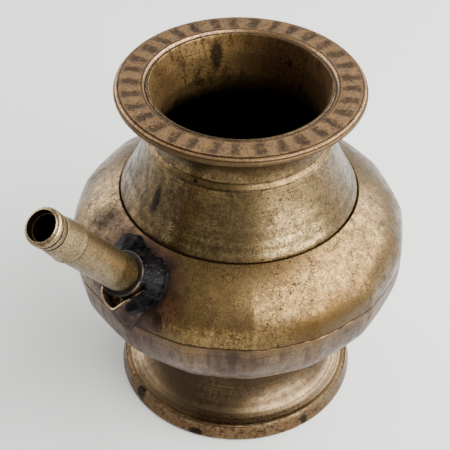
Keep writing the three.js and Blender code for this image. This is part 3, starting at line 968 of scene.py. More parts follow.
@dataclass
class Body:
    """The bellied body: two bowls beaten into soft upright panels and joined under the widest part."""

    levels: Levels
    lie: Lie
    belly_r: float = 69.5
    belly_rise: float = 46.4
    seat_r: float = 35.9
    shoulder_r: float = 48.6
    upper_curve: float = 2.2
    lower_curve: float = 2.9
    wall: float = 1.9
    lip_w: float = 3.6
    step_w: float = 0.4
    groove_w: float = 1.2
    groove_d: float = 0.8
    base_sag: float = 7.1
    spigot_h: float = 2.4
    spigot_r: float = 32.6
    panels: int = 16
    panel_depth: float = 0.7
    panel_fade: float = 16.0
    hammer_depth: float = 0.35
    hammer_size: float = 15.0
    hammer_seed: float = 4.0
    seam_line_w: float = 0.7
    seam_rise: float = 0.04
    seam_wander: Point = (9.0, 31.0)
    seam_swell: float = 17.0
    seam_stand: float = 23.0
    rounding: float = 0.25
    facet: float = 0.9
    floor_facet: float = 1.2
    segments: int = 384

    def radius(self, z: float) -> float:
        """Radius of the plain turned body.

        Args:
            z: A height.

        Returns:
            The radius at that height.
        """
        belly_z = self.levels.seat + self.belly_rise
        if z >= belly_z:
            share = (z - belly_z) / (self.levels.shoulder - belly_z)
            return self.belly_r - (self.belly_r - self.shoulder_r) * share ** self.upper_curve
        share = (belly_z - z) / (belly_z - self.levels.seat)
        return self.belly_r - (self.belly_r - self.seat_r) * share ** self.lower_curve

    def normal(self, z: float) -> Vector:
        """Outward normal of the turned body at a height, as radial and vertical parts."""
        slope = (self.radius(z + SLOPE_STEP) - self.radius(z - SLOPE_STEP)) / (2 * SLOPE_STEP)
        return Vector((1.0, -slope)).normalized()

    def shell(self, angle: float, z: float) -> float:
        """Radius of the body with its beaten panels.

        Args:
            angle: A direction from the axis.
            z: A height.

        Returns:
            The radius there.
        """
        room = min(self.levels.shoulder - z, z - self.levels.seat)
        turn = angle / (2 * math.pi) * self.panels
        middle = 2 * (turn - math.floor(turn)) - 1
        return self.radius(z) - self.panel_depth * eased(room, 0, self.panel_fade) * (1 - middle ** 2)

    def inner(self, z: float) -> Point:
        """The point of the inside wall that lies behind a height of the outside."""
        normal = self.normal(z)
        return (self.radius(z) - self.wall * normal.x, z - self.wall * normal.y)

    def inside(self, face: MeshPolygon) -> bool:
        """Tells whether a face lies on the inner side of the wall.

        Args:
            face: The face.

        Returns:
            True where it lies deeper than the panels and blows can reach.
        """
        x, y, z = face.center / MM - Vector((self.levels.axis_x, 0.0, 0.0))
        height = min(max(z, self.levels.seat), self.levels.shoulder)
        deepest = self.panel_depth + self.hammer_depth + self.wall * INNER_SHARE / self.normal(height).x
        return math.hypot(x, y) < self.radius(height) - deepest

    def planished(self, piece: Object, tree: NodeTree, finish: Finish) -> None:
        """Beats the panels into a turned piece and gives it its finish.

        Args:
            piece: The piece.
            tree: The planishing tree.
            finish: The finish.
        """
        grown(piece, tree, {
            "Axis X": self.levels.axis_x * MM,
            "Panels": float(self.panels),
            "Panel Depth": self.panel_depth * MM,
            "Fade": self.panel_fade * MM,
            "Low": self.levels.seat * MM,
            "High": self.levels.shoulder * MM,
            "Hammer Depth": self.hammer_depth * MM,
            "Hammer Size": self.hammer_size * MM,
            "Seed": self.hammer_seed,
            "Finish": Dresser(finish, self.lie).material(),
        })

    def build(self, spout: "Spout") -> None:
        """Makes both bowls and the brazed seam between them.

        Args:
            spout: The spout, which has a hole in the upper bowl.
        """
        tree = planishing_tree()
        lining = Dresser(LINING, self.lie).material()
        upper, lower = self.upper_bowl(), self.lower_bowl()
        seam = swept("belly_seam", self.seam_section, self.lie, self.segments)
        for piece, finish, slot, node in ((upper, UPPER_BRASS, "old_brass", "upper_bowl"),
                                          (lower, LOWER_BRASS, "old_brass", "lower_bowl"),
                                          (seam, BRAZING, "brazing", "belly_solder")):
            self.planished(piece, tree, finish)
            if piece is upper:
                spout.bore_through(piece)
            line_inside(piece, lining, self.inside)
            settle(piece, slot, node)

    def upper_bowl(self) -> Object:
        """Turns the upper bowl, with the groove and the seat under the neck.

        Returns:
            The bowl, not yet beaten.
        """
        low, high = self.levels.upper_foot, self.levels.shoulder
        heights = spread(low, high - self.groove_d / 5, 36)
        neck_r = self.shoulder_r - self.step_w
        lip = neck_r - self.lip_w
        outline = [(self.radius(z), z) for z in heights]
        outline += [(neck_r - self.groove_w / 2, high - self.groove_d), (neck_r - self.groove_w, high)]
        outline += [(lip, high), (lip, high - self.wall)]
        outline += [self.inner(z) for z in reversed(heights[1:])]
        outline += [(self.radius(low) - self.wall, low)]
        outline = worked(outline, self.rounding, self.facet)
        return turned("upper_bowl_beaten", outline, self.lie, self.segments)

    def lower_bowl(self) -> Object:
        """Turns the lower bowl, with the pot's floor and the spigot that centres it in the foot.

        Returns:
            The bowl, not yet beaten.
        """
        seat, seam = self.levels.seat, self.levels.seam
        base = seat - self.base_sag
        heights = spread(seat, seam, 48)
        edge = self.inner(seat)
        sag = self.base_sag - self.spigot_h
        outline = [(self.spigot_r * s, base + sag * s ** 2) for s in spread(0, 1, 24)]
        outline += [(self.spigot_r, seat)]
        outline += [(self.radius(z), z) for z in heights]
        outline += [(self.radius(seam) - self.wall, seam)]
        outline += [self.inner(z) for z in reversed(heights[1:-1])]
        rise = edge[1] - base - self.wall
        outline += [(edge[0] * s, base + self.wall + rise * s ** 2) for s in spread(1, 0, 28)]
        return turned("lower_bowl_beaten", divided(outline, self.floor_facet, False), self.lie, self.segments)

    def seam_section(self, way: Vector) -> list[Point]:
        """Section of the thin uneven line of brazing that shows between the bowls.

        Args:
            way: A direction from the axis.

        Returns:
            The section, as radius and height.
        """
        low, high, width = self.levels.seam, self.levels.upper_foot, self.seam_line_w
        slow, quick = self.seam_wander
        middle = (low + high) / 2 + waver(way, ((width, slow), (width / 2, quick)))
        half = width / 2 * (1 + noise.noise(way * self.seam_swell))
        out = self.radius(middle) + self.seam_rise * (0.6 + noise.noise(way * self.seam_stand))
        back = self.radius(middle) - self.wall
        return [(back, low), (out, middle - half), (out, middle + half), (back, high)]


@dataclass
class Neck:
    """The neck: a hollow cone, a band between two turned lines, and a throat that opens to the rim."""

    levels: Levels
    lie: Lie
    foot_r: float = 48.2
    foot_h: float = 0.8
    cone_h: float = 25.5
    cone_top_r: float = 37.2
    sag: float = 0.9
    line_w: float = 0.9
    line_d: float = 0.45
    line_inset: float = 0.1
    band_h: float = 2.4
    band_top_r: float = 35.9
    throat_r: float = 35.5
    throat_rise: float = 2.6
    seat_r: float = 38.6
    wall: float = 2.4
    thickening: float = 1.0
    end_r: float = 36.4
    end_w: float = 1.0
    lip_w: float = 3.6
    joint_inset: float = 1.5
    joint_back: float = 0.5
    foot_step: float = 0.3
    rounding: float = 0.3
    facet: float = 0.9
    segments: int = 288

    def bowed(self, start: Point, end: Point) -> list[Point]:
        """A line between two points that sags towards the axis.

        Args:
            start: Its first point, as radius and height.
            end: Its last point.

        Returns:
            The points of the line.
        """
        straight = [(s, start[0] + (end[0] - start[0]) * s, start[1] + (end[1] - start[1]) * s)
                    for s in spread(0, 1, 24)]
        return [(radius - 4 * self.sag * s * (1 - s), height) for s, radius, height in straight]

    def outline(self) -> list[Point]:
        """The neck's outline.

        Returns:
            Points of radius and height, up the outside and down the inside.
        """
        foot = self.levels.neck_foot + self.foot_h
        cone_top = self.levels.neck_foot + self.cone_h
        band_top = cone_top + self.band_h
        throat = band_top + self.throat_rise
        seat = self.levels.rim_low
        flare = [(self.throat_r + (self.seat_r - self.throat_r) * s ** 2, throat + (seat - throat) * s)
                 for s in spread(0, 1, 16)]
        inner_top = (self.cone_top_r - self.wall - self.thickening, cone_top)
        inside = self.bowed(inner_top, (self.foot_r - self.wall, foot))
        return [
            (self.foot_r, self.levels.neck_foot),
            *self.bowed((self.foot_r - self.foot_step, foot), (self.cone_top_r, cone_top - self.line_w / 2)),
            *groove(self.cone_top_r - self.line_inset, cone_top, self.line_w, self.line_d),
            *groove(self.band_top_r, band_top, self.line_w, self.line_d),
            *flare,
            (self.end_r, seat),
            (self.end_r, self.levels.neck_top),
            (self.end_r - self.end_w, self.levels.neck_top),
            (self.end_r - self.wall, seat),
            (self.throat_r - self.wall, throat),
            *inside,
            (self.foot_r - self.lip_w, self.levels.neck_foot),
        ]

    def build(self) -> None:
        """Makes the neck and the brazed joint under it."""
        neck = worked(self.outline(), self.rounding, self.facet)
        joint = plain_ring(self.foot_r - self.lip_w + self.joint_back, self.foot_r - self.joint_inset,
                           self.levels.shoulder, self.levels.neck_foot)
        for name, outline, slot, node, outer, inner in (
                ("neck_turned", neck, "old_brass", "neck_collar", NECK_BRASS, THROAT_LINING),
                ("shoulder_joint", joint, "brazing", "shoulder_solder", BRAZING, LINING)):
            piece = turned(name, outline, self.lie, self.segments)
            piece.data.materials.append(Dresser(outer, self.lie).material())
            line_inside(piece, Dresser(inner, self.lie).material(), lambda face: looks_inward(face, self.lie))
            settle(piece, slot, node)


@dataclass
class Rim:
    """The flat rim with its round bead, its pressed strokes and the solder that holds it to the neck."""

    levels: Levels
    lie: Lie
    mouth_edge_r: float = 37.6
    face_r: float = 46.9
    step: float = 0.45
    bead_r: float = 1.7
    bead_line_at: float = 38.0
    bead_line_w: float = 14.0
    bead_line_d: float = 0.4
    radius: float = 49.0
    under_r: float = 42.0
    seat_r: float = 38.6
    bore_r: float = 36.7
    groove_d: float = 1.3
    strokes: int = 33
    stroke_d: float = 0.12
    stroke_edge: float = 2.0
    solder_inset: float = 0.3
    solder_w: float = 0.55
    solder_h: float = 0.5
    solder_skirt: float = 0.7
    solder_crest: float = 0.6
    solder_spill: float = 0.25
    solder_waves: Waves = ((0.6, 6.0), (0.35, 22.0))
    drops_per_m2: float = 2.2e6
    smallest_drop: float = 0.12
    largest_drop: float = 0.42
    drop_flatness: float = 0.7
    drop_seed: int = 7
    rounding: float = 0.15
    least_turn: float = 0.5
    facet: float = 0.5
    segments: int = 396

    def outline(self) -> list[Point]:
        """The rim's outline.

        Returns:
            Points of radius and height, from the seat round the bead and over the face to the bore.
        """
        low, top = self.levels.rim_low, self.levels.rim_top
        bead_z = top - self.step - self.bead_r
        bead_x = self.radius - self.bead_r
        under = [(self.seat_r + (self.under_r - self.seat_r) * s ** 2, low + (bead_z - self.bead_r - low) * s)
                 for s in spread(0, 1, 12)]
        bead = []
        for angle in spread(-math.pi / 2, math.pi / 2, 36):
            off = abs(math.degrees(angle) - self.bead_line_at) / self.bead_line_w
            reach = self.bead_r - self.bead_line_d * (1 - eased(off, 0.0, 1.0))
            bead.append((bead_x + reach * math.cos(angle), bead_z + reach * math.sin(angle)))
        return [
            *under,
            *bead,
            (self.face_r, top - self.step),
            (self.face_r, top),
            (self.mouth_edge_r, top),
            (self.bore_r, top - self.groove_d),
            (self.bore_r, low),
        ]

    def build(self) -> None:
        """Makes the rim, its strokes and the solder round the neck's end."""
        outline = divided(rounded(self.outline(), self.rounding, self.least_turn), self.facet, True)
        rim = turned("rim_turned", outline, self.lie, self.segments)
        grown(rim, stroke_tree(), {
            "Axis X": self.levels.axis_x * MM,
            "Strokes": float(self.strokes),
            "Depth": self.stroke_d * MM,
            "Inner Radius": self.mouth_edge_r * MM,
            "Outer Radius": self.face_r * MM,
            "Face Height": (self.levels.rim_top - self.step / 2) * MM,
            "Edge": self.stroke_edge * MM,
            "Finish": Dresser(RIM_BRASS, self.lie).material(),
        })
        settle(rim, "rim_brass", "rim_ring")
        solder = swept("rim_solder_bead", self.solder_section, self.lie, self.segments)
        grown(solder, scattering_tree(), {
            "Density": self.drops_per_m2,
            "Smallest": self.smallest_drop * MM,
            "Largest": self.largest_drop * MM,
            "Flatness": self.drop_flatness,
            "Seed": self.drop_seed,
            "Keep Surface": True,
            "Finish": Dresser(SOFT_SOLDER, self.lie).material(),
        })
        settle(solder, "soft_solder", "rim_solder")

    def solder_section(self, way: Vector) -> list[Point]:
        """Section of the uneven bead of solder in the groove round the neck's end.

        Args:
            way: A direction from the axis.

        Returns:
            The section, as radius and height.
        """
        swell = 1 + waver(way, self.solder_waves)
        crest = self.levels.rim_top - self.groove_d + self.solder_h * swell
        inner = self.bore_r - self.solder_inset
        return [(inner + self.solder_w, crest - self.solder_skirt),
                (inner + self.solder_w * self.solder_crest * swell, crest),
                (inner - self.solder_spill * swell, crest - self.solder_skirt / 2)]


@dataclass
class Spout:
    """The straight spout: tube, mouth ferrule, root ring, drawn socket, and the pitch that beds it."""

    levels: Levels
    body: Body
    elevation: float = 52.5
    root_rise: float = 59.4
    tube_r: float = 7.3
    bore_r: float = 5.1
    tail: float = 7.5
    length: float = 69.0
    ferrule_h: float = 18.4
    ferrule_foot_r: float = 8.0
    ferrule_foot_h: float = 2.0
    waist_r: float = 6.95
    bead_r: float = 7.25
    spigot_r: float = 6.0
    body_line_drop: float = 6.4
    mouth_line_drop: float = 3.2
    mouth_r: float = 6.2
    mouth_bore_r: float = 5.75
    lip: float = 1.8
    nose_h: float = 1.3
    line_w: float = 0.8
    line_d: float = 0.5
    ring_r: float = 9.2
    ring_foot: float = 8.4
    ring_t: float = 1.4
    socket_edge: float = 2.9
    socket_wall: float = 1.0
    socket_half_w: float = 10.4
    socket_half_h: float = 12.0
    socket_low: float = 2.2
    socket_flare: float = 3.6
    flat_turn: float = 237.0
    flat_reach: float = 8.9
    flat_rise: float = 1.4
    flat_from: float = 0.3
    rise_from: float = 0.5
    pitch_reaches: tuple[float, ...] = (13.0, 20.0, 15.5, 12.6, 13.2, 12.4, 14.4, 14.8)
    pitch_waves: Waves = ((1.2, 5.0), (0.7, 16.0))
    pitch_lumps: Waves = ((0.8, 0.3), (0.2, 1.1))
    pitch_edge_t: float = 0.7
    pitch_climb: float = 7.9
    pitch_floor_t: float = 1.4
    pitch_crest: float = 0.45
    thinning: float = 0.93
    lump_fade: float = 2.0
    pitch_rows: int = 44
    underside_step: int = 4
    pit_start: float = 105.0
    pit_end: float = 262.0
    bare_end: float = 192.0
    pit_side: float = 14.0
    pit_slope: float = 0.8
    pit_drop: float = 0.5
    edge_lean: float = 0.4
    edge_drop: float = 0.5
    socket_waves: Waves = ((0.25, 4.0),)
    ring_bend: Waves = ((0.35, 2.2), (0.12, 9.0))
    bore_margin: float = 0.1
    clearance: float = 0.3
    buried: float = 0.1
    crumb_margin: float = 4.0
    crumb_span: Point = (0.12, 0.9)
    crumb_lift: float = 0.05
    crumbs_per_m2: float = 0.9e6
    smallest_crumb: float = 0.2
    largest_crumb: float = 0.8
    crumb_flatness: float = 0.35
    crumb_seed: int = 21
    rounding: float = 0.3
    facet: float = 1.0
    mouth_rounding: float = 0.12
    mouth_facet: float = 0.5
    ring_rounding: float = 0.2
    ring_facet: float = 0.4
    segments: int = 120

    @property
    def lie(self) -> Lie:
        """The spout's own axis, with X up the spout's back.

        Returns:
            The axis, from where it leaves the body.
        """
        rise = self.levels.seat + self.root_rise
        foot = (self.levels.axis_x - self.body.radius(rise), 0.0, rise)
        return Lie(foot, math.radians(self.elevation - 90))

    def bore_through(self, bowl: Object) -> None:
        """Cuts the tube's hole in the upper bowl.

        Args:
            bowl: The upper bowl.
        """
        reach = 3 * self.tail
        outline = [(0.0, -reach), (self.tube_r, -reach), (self.tube_r, reach), (0.0, reach)]
        cutter = turned("spout_hole", outline, self.lie, self.segments)
        hole = bowl.modifiers.new("spout_hole", "BOOLEAN")
        hole.operation = "DIFFERENCE"
        hole.solver = "EXACT"
        hole.object = cutter
        applied(bowl)
        bpy.data.objects.remove(cutter)

    def surface(self, x: float, y: float) -> float:
        """Finds the body's surface by stepping along the spout.

        Args:
            x: Place across the spout, towards its back.
            y: Place across the spout, to its side.

        Returns:
            Height of the surface along the spout.
        """
        matrix = self.lie.matrix()
        height = 0.0
        for _ in range(SURFACE_STEPS):
            place = matrix @ Vector((x, y, height)) / MM
            out = math.hypot(place.x - self.levels.axis_x, place.y)
            shell = self.body.shell(math.atan2(place.y, place.x - self.levels.axis_x), place.z)
            height -= STEP_SHARE * (out - shell)
        return height

    def flat_side(self, angle: float) -> float:
        """How squarely a direction faces the socket's flat side, as a cosine."""
        return math.cos(angle - math.radians(self.flat_turn))

    def socket_reach(self, angle: float, grow: float) -> float:
        """Distance of the socket's outline from the spout's axis: an oval with one side cut flat.

        Args:
            angle: A direction round the spout.
            grow: How far the outline is grown outwards.

        Returns:
            The distance.
        """
        across, up = self.socket_half_w + grow, self.socket_half_h + grow
        a = (math.cos(angle) / up) ** 2 + (math.sin(angle) / across) ** 2
        b = 2 * math.cos(angle) * self.socket_low / up ** 2
        c = (self.socket_low / up) ** 2 - 1
        oval = (-b + math.sqrt(b * b - 4 * a * c)) / (2 * a)
        off = self.flat_side(angle)
        return min(oval, (self.flat_reach + grow) / off) if off > self.flat_from else oval

    def edge_height(self, angle: float) -> float:
        """Height of the socket's edge, which rises along its flat side."""
        return self.socket_edge + self.flat_rise * eased(self.flat_side(angle), self.rise_from, 1.0)

    def on_edge(self, face: MeshPolygon) -> bool:
        """Tells whether a face lies on the socket's edge."""
        middle, way = own_face(face, self.lie)
        return way.z > self.edge_lean and middle.z > self.socket_edge - self.edge_drop

    def pitch_reach(self, angle: float) -> float:
        """How far the pitch is smeared over the body.

        Args:
            angle: A direction round the spout.

        Returns:
            The distance from the spout's axis.
        """
        count = len(self.pitch_reaches)
        turn = angle / (2 * math.pi) * count
        before = math.floor(turn) % count
        share = (1 - math.cos(math.pi * (turn - math.floor(turn)))) / 2
        reach = self.pitch_reaches[before] * (1 - share) + self.pitch_reaches[(before + 1) % count] * share
        return reach + waver(Vector((math.cos(angle), math.sin(angle), 0.0)), self.pitch_waves)

    def pit(self, angle: float, end: float) -> float:
        """One in the open pit under the spout, and nought past its start or a given end.

        Args:
            angle: A direction round the spout.
            end: Where the pit ends, in degrees.

        Returns:
            How open the pit is.
        """
        degrees = math.degrees(angle) % 360
        opening = eased(degrees, self.pit_start - self.pit_side, self.pit_start)
        return opening * (1 - eased(degrees, end, end + self.pit_side))

    def pitch_height(self, distance: float, angle: float, floor: float) -> float:
        """Height of the pitch along the spout.

        Args:
            distance: Distance from the spout's axis.
            angle: Direction round the spout.
            floor: Height of the body's surface there.

        Returns:
            The height.
        """
        mound = self.pitch_climb * (1 - eased(distance / self.pitch_reach(angle), self.pitch_crest, 1.0))
        filled = max(floor + self.pitch_edge_t, mound)
        wall = self.socket_reach(angle, -self.socket_wall)
        opening = self.pit(angle, self.pit_end)
        if distance < wall:
            height = filled + (floor + self.pitch_floor_t - filled) * opening
        else:
            low = min(filled, self.edge_height(angle) + self.pit_slope * (distance - wall) - self.pit_drop)
            height = filled + (max(low, floor + self.pitch_edge_t) - filled) * opening
            height += (floor + self.pitch_edge_t - height) * self.pit(angle, self.bare_end)
        place = Vector((distance * math.cos(angle), distance * math.sin(angle), height))
        return height + waver(place, self.pitch_lumps) * eased(height - floor, 0, self.lump_fade)

    def build(self) -> None:
        """Makes every piece of the spout."""
        brass, lining = (Dresser(finish, self.lie).material() for finish in (SPOUT_BRASS, LINING))
        tube = worked(self.tube_outline(), self.rounding, self.facet)
        ferrule = worked(self.ferrule_outline(), self.mouth_rounding, self.mouth_facet)
        for name, node, outline in (("spout_tube_drawn", "spout_tube", tube),
                                    ("spout_mouth_ferrule", "spout_ferrule", ferrule)):
            piece = turned(name, outline, self.lie, self.segments)
            piece.data.materials.append(brass)
            line_inside(piece, lining, lambda face: looks_inward(face, self.lie))
            settle(piece, "spout_brass", node)
        root = swept("spout_root_ring", self.ring_section, self.lie, self.segments)
        settle(root, "spout_brass", "spout_root_collar", finish=Dresser(RING_BRASS, self.lie).material())
        socket = self.socket()
        socket.data.materials.append(Dresser(TARRED_BRASS, self.lie).material())
        line_inside(socket, Dresser(SOCKET_BRASS, self.lie).material(), self.on_edge)
        settle(socket, "old_brass", "spout_socket")
        settle(self.pitch(), "black_pitch", "pitch_seal", finish=Dresser(PITCH, self.lie).material())
        self.crumbs()

    def tube_outline(self) -> list[Point]:
        """The plain tube with the spigot that the ferrule sits on.

        Returns:
            Points of radius and height.
        """
        foot, end = self.length - self.ferrule_h - self.clearance, self.length - self.mouth_line_drop
        return [(self.bore_r, -self.tail), (self.tube_r, -self.tail), (self.tube_r, foot),
                (self.spigot_r, foot), (self.spigot_r, end), (self.bore_r, end)]

    def ferrule_outline(self) -> list[Point]:
        """The ferrule, with its stepped foot, two lines and rounded nose.

        Returns:
            Points of radius and height.
        """
        foot, top = self.length - self.ferrule_h, self.length
        nose_w, nose_foot = self.bead_r - self.mouth_r, top - self.lip
        nose = [(self.mouth_r + nose_w * math.cos(a), nose_foot + self.nose_h * math.sin(a))
                for a in spread(0, math.pi / 2, 8)]
        seat = self.spigot_r + self.clearance
        end = top - self.mouth_line_drop + self.clearance
        return [
            (seat, foot),
            (self.ferrule_foot_r, foot),
            (self.ferrule_foot_r - self.clearance, foot + self.ferrule_foot_h),
            *groove(self.waist_r, top - self.body_line_drop, self.line_w, self.line_d),
            *groove(self.bead_r, top - self.mouth_line_drop, self.line_w, self.line_d),
            *nose,
            (self.mouth_bore_r, top),
            (self.mouth_bore_r - self.clearance, end),
            (seat, end),
        ]

    def ring_section(self, way: Vector) -> list[Point]:
        """Section of the thin, slightly bent ring round the tube.

        Args:
            way: A direction from the spout's axis.

        Returns:
            The section, as radius and height.
        """
        corner, low, high = self.ring_t / 3, self.ring_foot, self.ring_foot + self.ring_t
        section = [(self.tube_r, low), (self.ring_r - corner, low), (self.ring_r, low + corner),
                   (self.ring_r, high - corner), (self.ring_r - corner, high), (self.tube_r, high)]
        bend = waver(way, self.ring_bend)
        section = worked(section, self.ring_rounding, self.ring_facet)
        return [(r + bend / 2 * (r > self.tube_r + self.bore_margin), z + bend) for r, z in section]

    def relief(self, reach_of: Callable[[float], float], height_of: Callable[[float, float, float], float],
               ) -> list[Vector]:
        """A ring of points round the spout, each at its own distance and height.

        Args:
            reach_of: Gives the distance in a direction.
            height_of: Gives the height from the distance, the direction and the height of the body's surface.

        Returns:
            The ring.
        """
        row = []
        for angle, _ in ways(self.segments):
            reach = reach_of(angle)
            x, y = reach * math.cos(angle), reach * math.sin(angle)
            row.append(Vector((x, y, height_of(reach, angle, self.surface(x, y)))))
        return row

    def socket_row(self, grow: float, share: float) -> list[Vector]:
        """One row of points round the socket.

        Args:
            grow: How far the row stands out from the socket's outline.
            share: How far it has climbed from the body to the edge, from nought to one.

        Returns:
            The row.
        """
        def reach(angle: float) -> float:
            """The socket's wavering outline."""
            way = Vector((math.cos(angle), math.sin(angle), 0))
            return self.socket_reach(angle, grow) + waver(way, self.socket_waves)

        def height(distance: float, angle: float, floor: float) -> float:
            """The row's climb from just under the body's surface."""
            foot = floor - self.buried
            return foot + (self.edge_height(angle) - foot) * share

        return self.relief(reach, height)

    def socket(self) -> Object:
        """Skins the collar that stands out from the body round the spout's root.

        Returns:
            The socket.
        """
        wall = self.socket_wall
        sections = [(-wall, 0.0)]
        sections += [(self.socket_flare * (1 - s) ** 2, 0.5 * s) for s in spread(0, 1, 8)]
        sections += [(0.0, s) for s in spread(0.6, 0.92, 4)]
        sections += [(-0.15, 0.98), (-wall / 2, 1.0), (-wall + 0.15, 0.98), (-wall, 0.9)]
        return skinned("spout_socket_drawn", [self.socket_row(*section) for section in sections], self.lie)

    def pitch_top(self, share: float, distance: float, angle: float, floor: float) -> float:
        """Height of the pitch a share of the way out, brought down to the body at the very edge."""
        top = self.pitch_height(distance, angle, floor)
        return top + (floor - self.buried - top) * eased(share, self.thinning, 1.0)

    def pitch(self) -> Object:
        """Skins the lump of pitch round the tube and over the body.

        Returns:
            The pitch.
        """
        inner = self.tube_r - self.clearance

        def row(share: float, top: bool) -> list[Vector]:
            """Points round the spout a share of the way out, on top of the pitch or at its underside."""
            height_of = partial(self.pitch_top, share) if top else lambda d, a, floor: floor - self.clearance
            return self.relief(lambda angle: inner + (self.pitch_reach(angle) - inner) * share, height_of)

        shares = spread(0, 1, self.pitch_rows)
        rows = [row(share, False) for share in shares[::self.underside_step]]
        rows += [row(share, True) for share in reversed(shares)]
        return skinned("pitch_lump", rows, self.lie)

    def crumbs(self) -> None:
        """Strews crumbs of dirt and old pitch over the floor of the pit."""
        start, end = self.pit_start - self.crumb_margin, self.pit_end + self.crumb_margin
        directions = spread(math.radians(start), math.radians(end), 40)
        shares = spread(*self.crumb_span, 6)
        places: list[Vector] = []
        for share in shares:
            for angle in directions:
                distance = self.tube_r + (self.socket_reach(angle, -self.socket_wall) - self.tube_r) * share
                x, y = distance * math.cos(angle), distance * math.sin(angle)
                height = self.pitch_height(distance, angle, self.surface(x, y))
                places.append(Vector((x, y, height + self.crumb_lift)))
        row = len(directions)
        faces = [(i * row + j, (i + 1) * row + j, (i + 1) * row + j + 1, i * row + j + 1)
                 for i in range(len(shares) - 1) for j in range(row - 1)]
        patch = solid("pit_crumbs", places, faces, self.lie)
        grown(patch, scattering_tree(), {
            "Density": self.crumbs_per_m2,
            "Smallest": self.smallest_crumb * MM,
            "Largest": self.largest_crumb * MM,
            "Flatness": self.crumb_flatness,
            "Seed": self.crumb_seed,
            "Keep Surface": False,
            "Finish": Dresser(CRUMBS, self.lie).material(),
        })
        settle(patch, "black_pitch")


@dataclass(frozen=True)
class Softbox:
    """One soft rectangular light that faces the pot.

    Attributes:
        name: The light's name.
        turn: Its direction from the pot, in degrees to the right of the camera's.
        elevation: Height over the horizon in degrees.
        distance: Distance from the pot in millimetres.
        size: Width and height in millimetres.
        power: Radiant power in watts.
    """

    name: str
    turn: float
    elevation: float
    distance: float
    size: Point
    power: float


@dataclass
class Studio:
    """A plain pale floor, soft light and the camera at the photograph's angle."""

    levels: Levels
    azimuth: float = -49.92
    elevation: float = 40.69
    roll: float = 0.60
    distance: float = 543.2
    focal: float = 103.6
    target: Triple = (-3.524, 4.19, 77.74)
    floor_half: float = 4000.0
    pale: float = 1.3
    dim: float = 0.75
    dim_turn: float = -30.0
    dim_elevation: float = 18.0
    dim_reach: Point = (110.0, 60.0)
    air: str = "f4f4f2"
    lamp_aim: float = 75.0
    lights: tuple[Softbox, ...] = (
        Softbox("key_light", 54.0, 32.0, 800.0, (800.0, 900.0), 33.0),
        Softbox("right_light", 112.0, 35.0, 900.0, (900.0, 700.0), 26.0),
        Softbox("left_light", -122.0, 25.0, 900.0, (800.0, 700.0), 14.0),
    )

    def camera(self) -> None:
        """Makes the camera, placed and turned as the photograph was taken."""
        back = facing(self.azimuth, self.elevation)
        right = facing(self.azimuth + 90, 0.0)
        over = back.cross(right)
        lean = math.radians(self.roll)
        across = right * math.cos(lean) + over * math.sin(lean)
        upward = over * math.cos(lean) - right * math.sin(lean)
        look = bpy.data.cameras.new("camera")
        look.lens = self.focal
        look.sensor_width = 36.0
        eye = bpy.data.objects.new("camera", look)
        aim = Vector(self.target) + Vector((self.levels.axis_x, 0.0, 0.0))
        place = (aim + back * self.distance) * MM
        turn = Matrix((across, upward, back)).transposed()
        eye.matrix_world = Matrix.Translation(place) @ turn.to_4x4()
        bpy.context.scene.collection.objects.link(eye)
        bpy.context.scene.camera = eye

    def hang(self, softbox: Softbox) -> None:
        """Hangs one light.

        Args:
            softbox: The light's place, size and power.
        """
        light = bpy.data.lights.new(softbox.name, "AREA")
        light.shape = "RECTANGLE"
        light.size, light.size_y = (side * MM for side in softbox.size)
        light.energy = softbox.power
        back = facing(self.azimuth + softbox.turn, softbox.elevation)
        lamp = bpy.data.objects.new(softbox.name, light)
        lamp.location = (Vector((self.levels.axis_x, 0.0, self.lamp_aim)) + back * softbox.distance) * MM
        lamp.rotation_mode = "QUATERNION"
        lamp.rotation_quaternion = back.to_track_quat("Z", "Y")
        bpy.context.scene.collection.objects.link(lamp)

    def build(self) -> None:
        """Lays the floor, hangs the lights and sets the pale surroundings."""
        half = self.floor_half * MM
        mesh = bpy.data.meshes.new("floor")
        corners = [(-half, -half, 0), (half, -half, 0), (half, half, 0), (-half, half, 0)]
        mesh.from_pydata(corners, [], [(0, 1, 2, 3)])
        floor = bpy.data.objects.new("floor", mesh)
        floor.data.materials.append(Dresser(FLOOR, Lie((0.0, 0.0, 0.0))).material())
        bpy.context.scene.collection.objects.link(floor)
        for softbox in self.lights:
            self.hang(softbox)
        self.surroundings()

    def surroundings(self) -> None:
        """Sets pale surroundings that are dimmer in front of the pot, on its spout's side."""
        world = bpy.data.worlds.new("studio")
        world.use_nodes = True
        world.node_tree.nodes.clear()
        node = partial(add, world.node_tree)
        way = node("ShaderNodeTexCoord").outputs["Generated"]
        dim = tuple(facing(self.azimuth + self.dim_turn, self.dim_elevation))
        toward = node(VECTOR, {0: way, 1: dim}, operation="DOT_PRODUCT").outputs["Value"]
        edge, core = (math.cos(math.radians(angle)) for angle in self.dim_reach)
        share = {0: toward, 1: edge, 2: core, 3: self.pale, 4: self.dim}
        strength = node("ShaderNodeMapRange", share, interpolation_type="SMOOTHSTEP")
        glow = node("ShaderNodeBackground", {"Color": linear(self.air), "Strength": strength})
        node("ShaderNodeOutputWorld", {"Surface": glow})
        bpy.context.scene.world = world
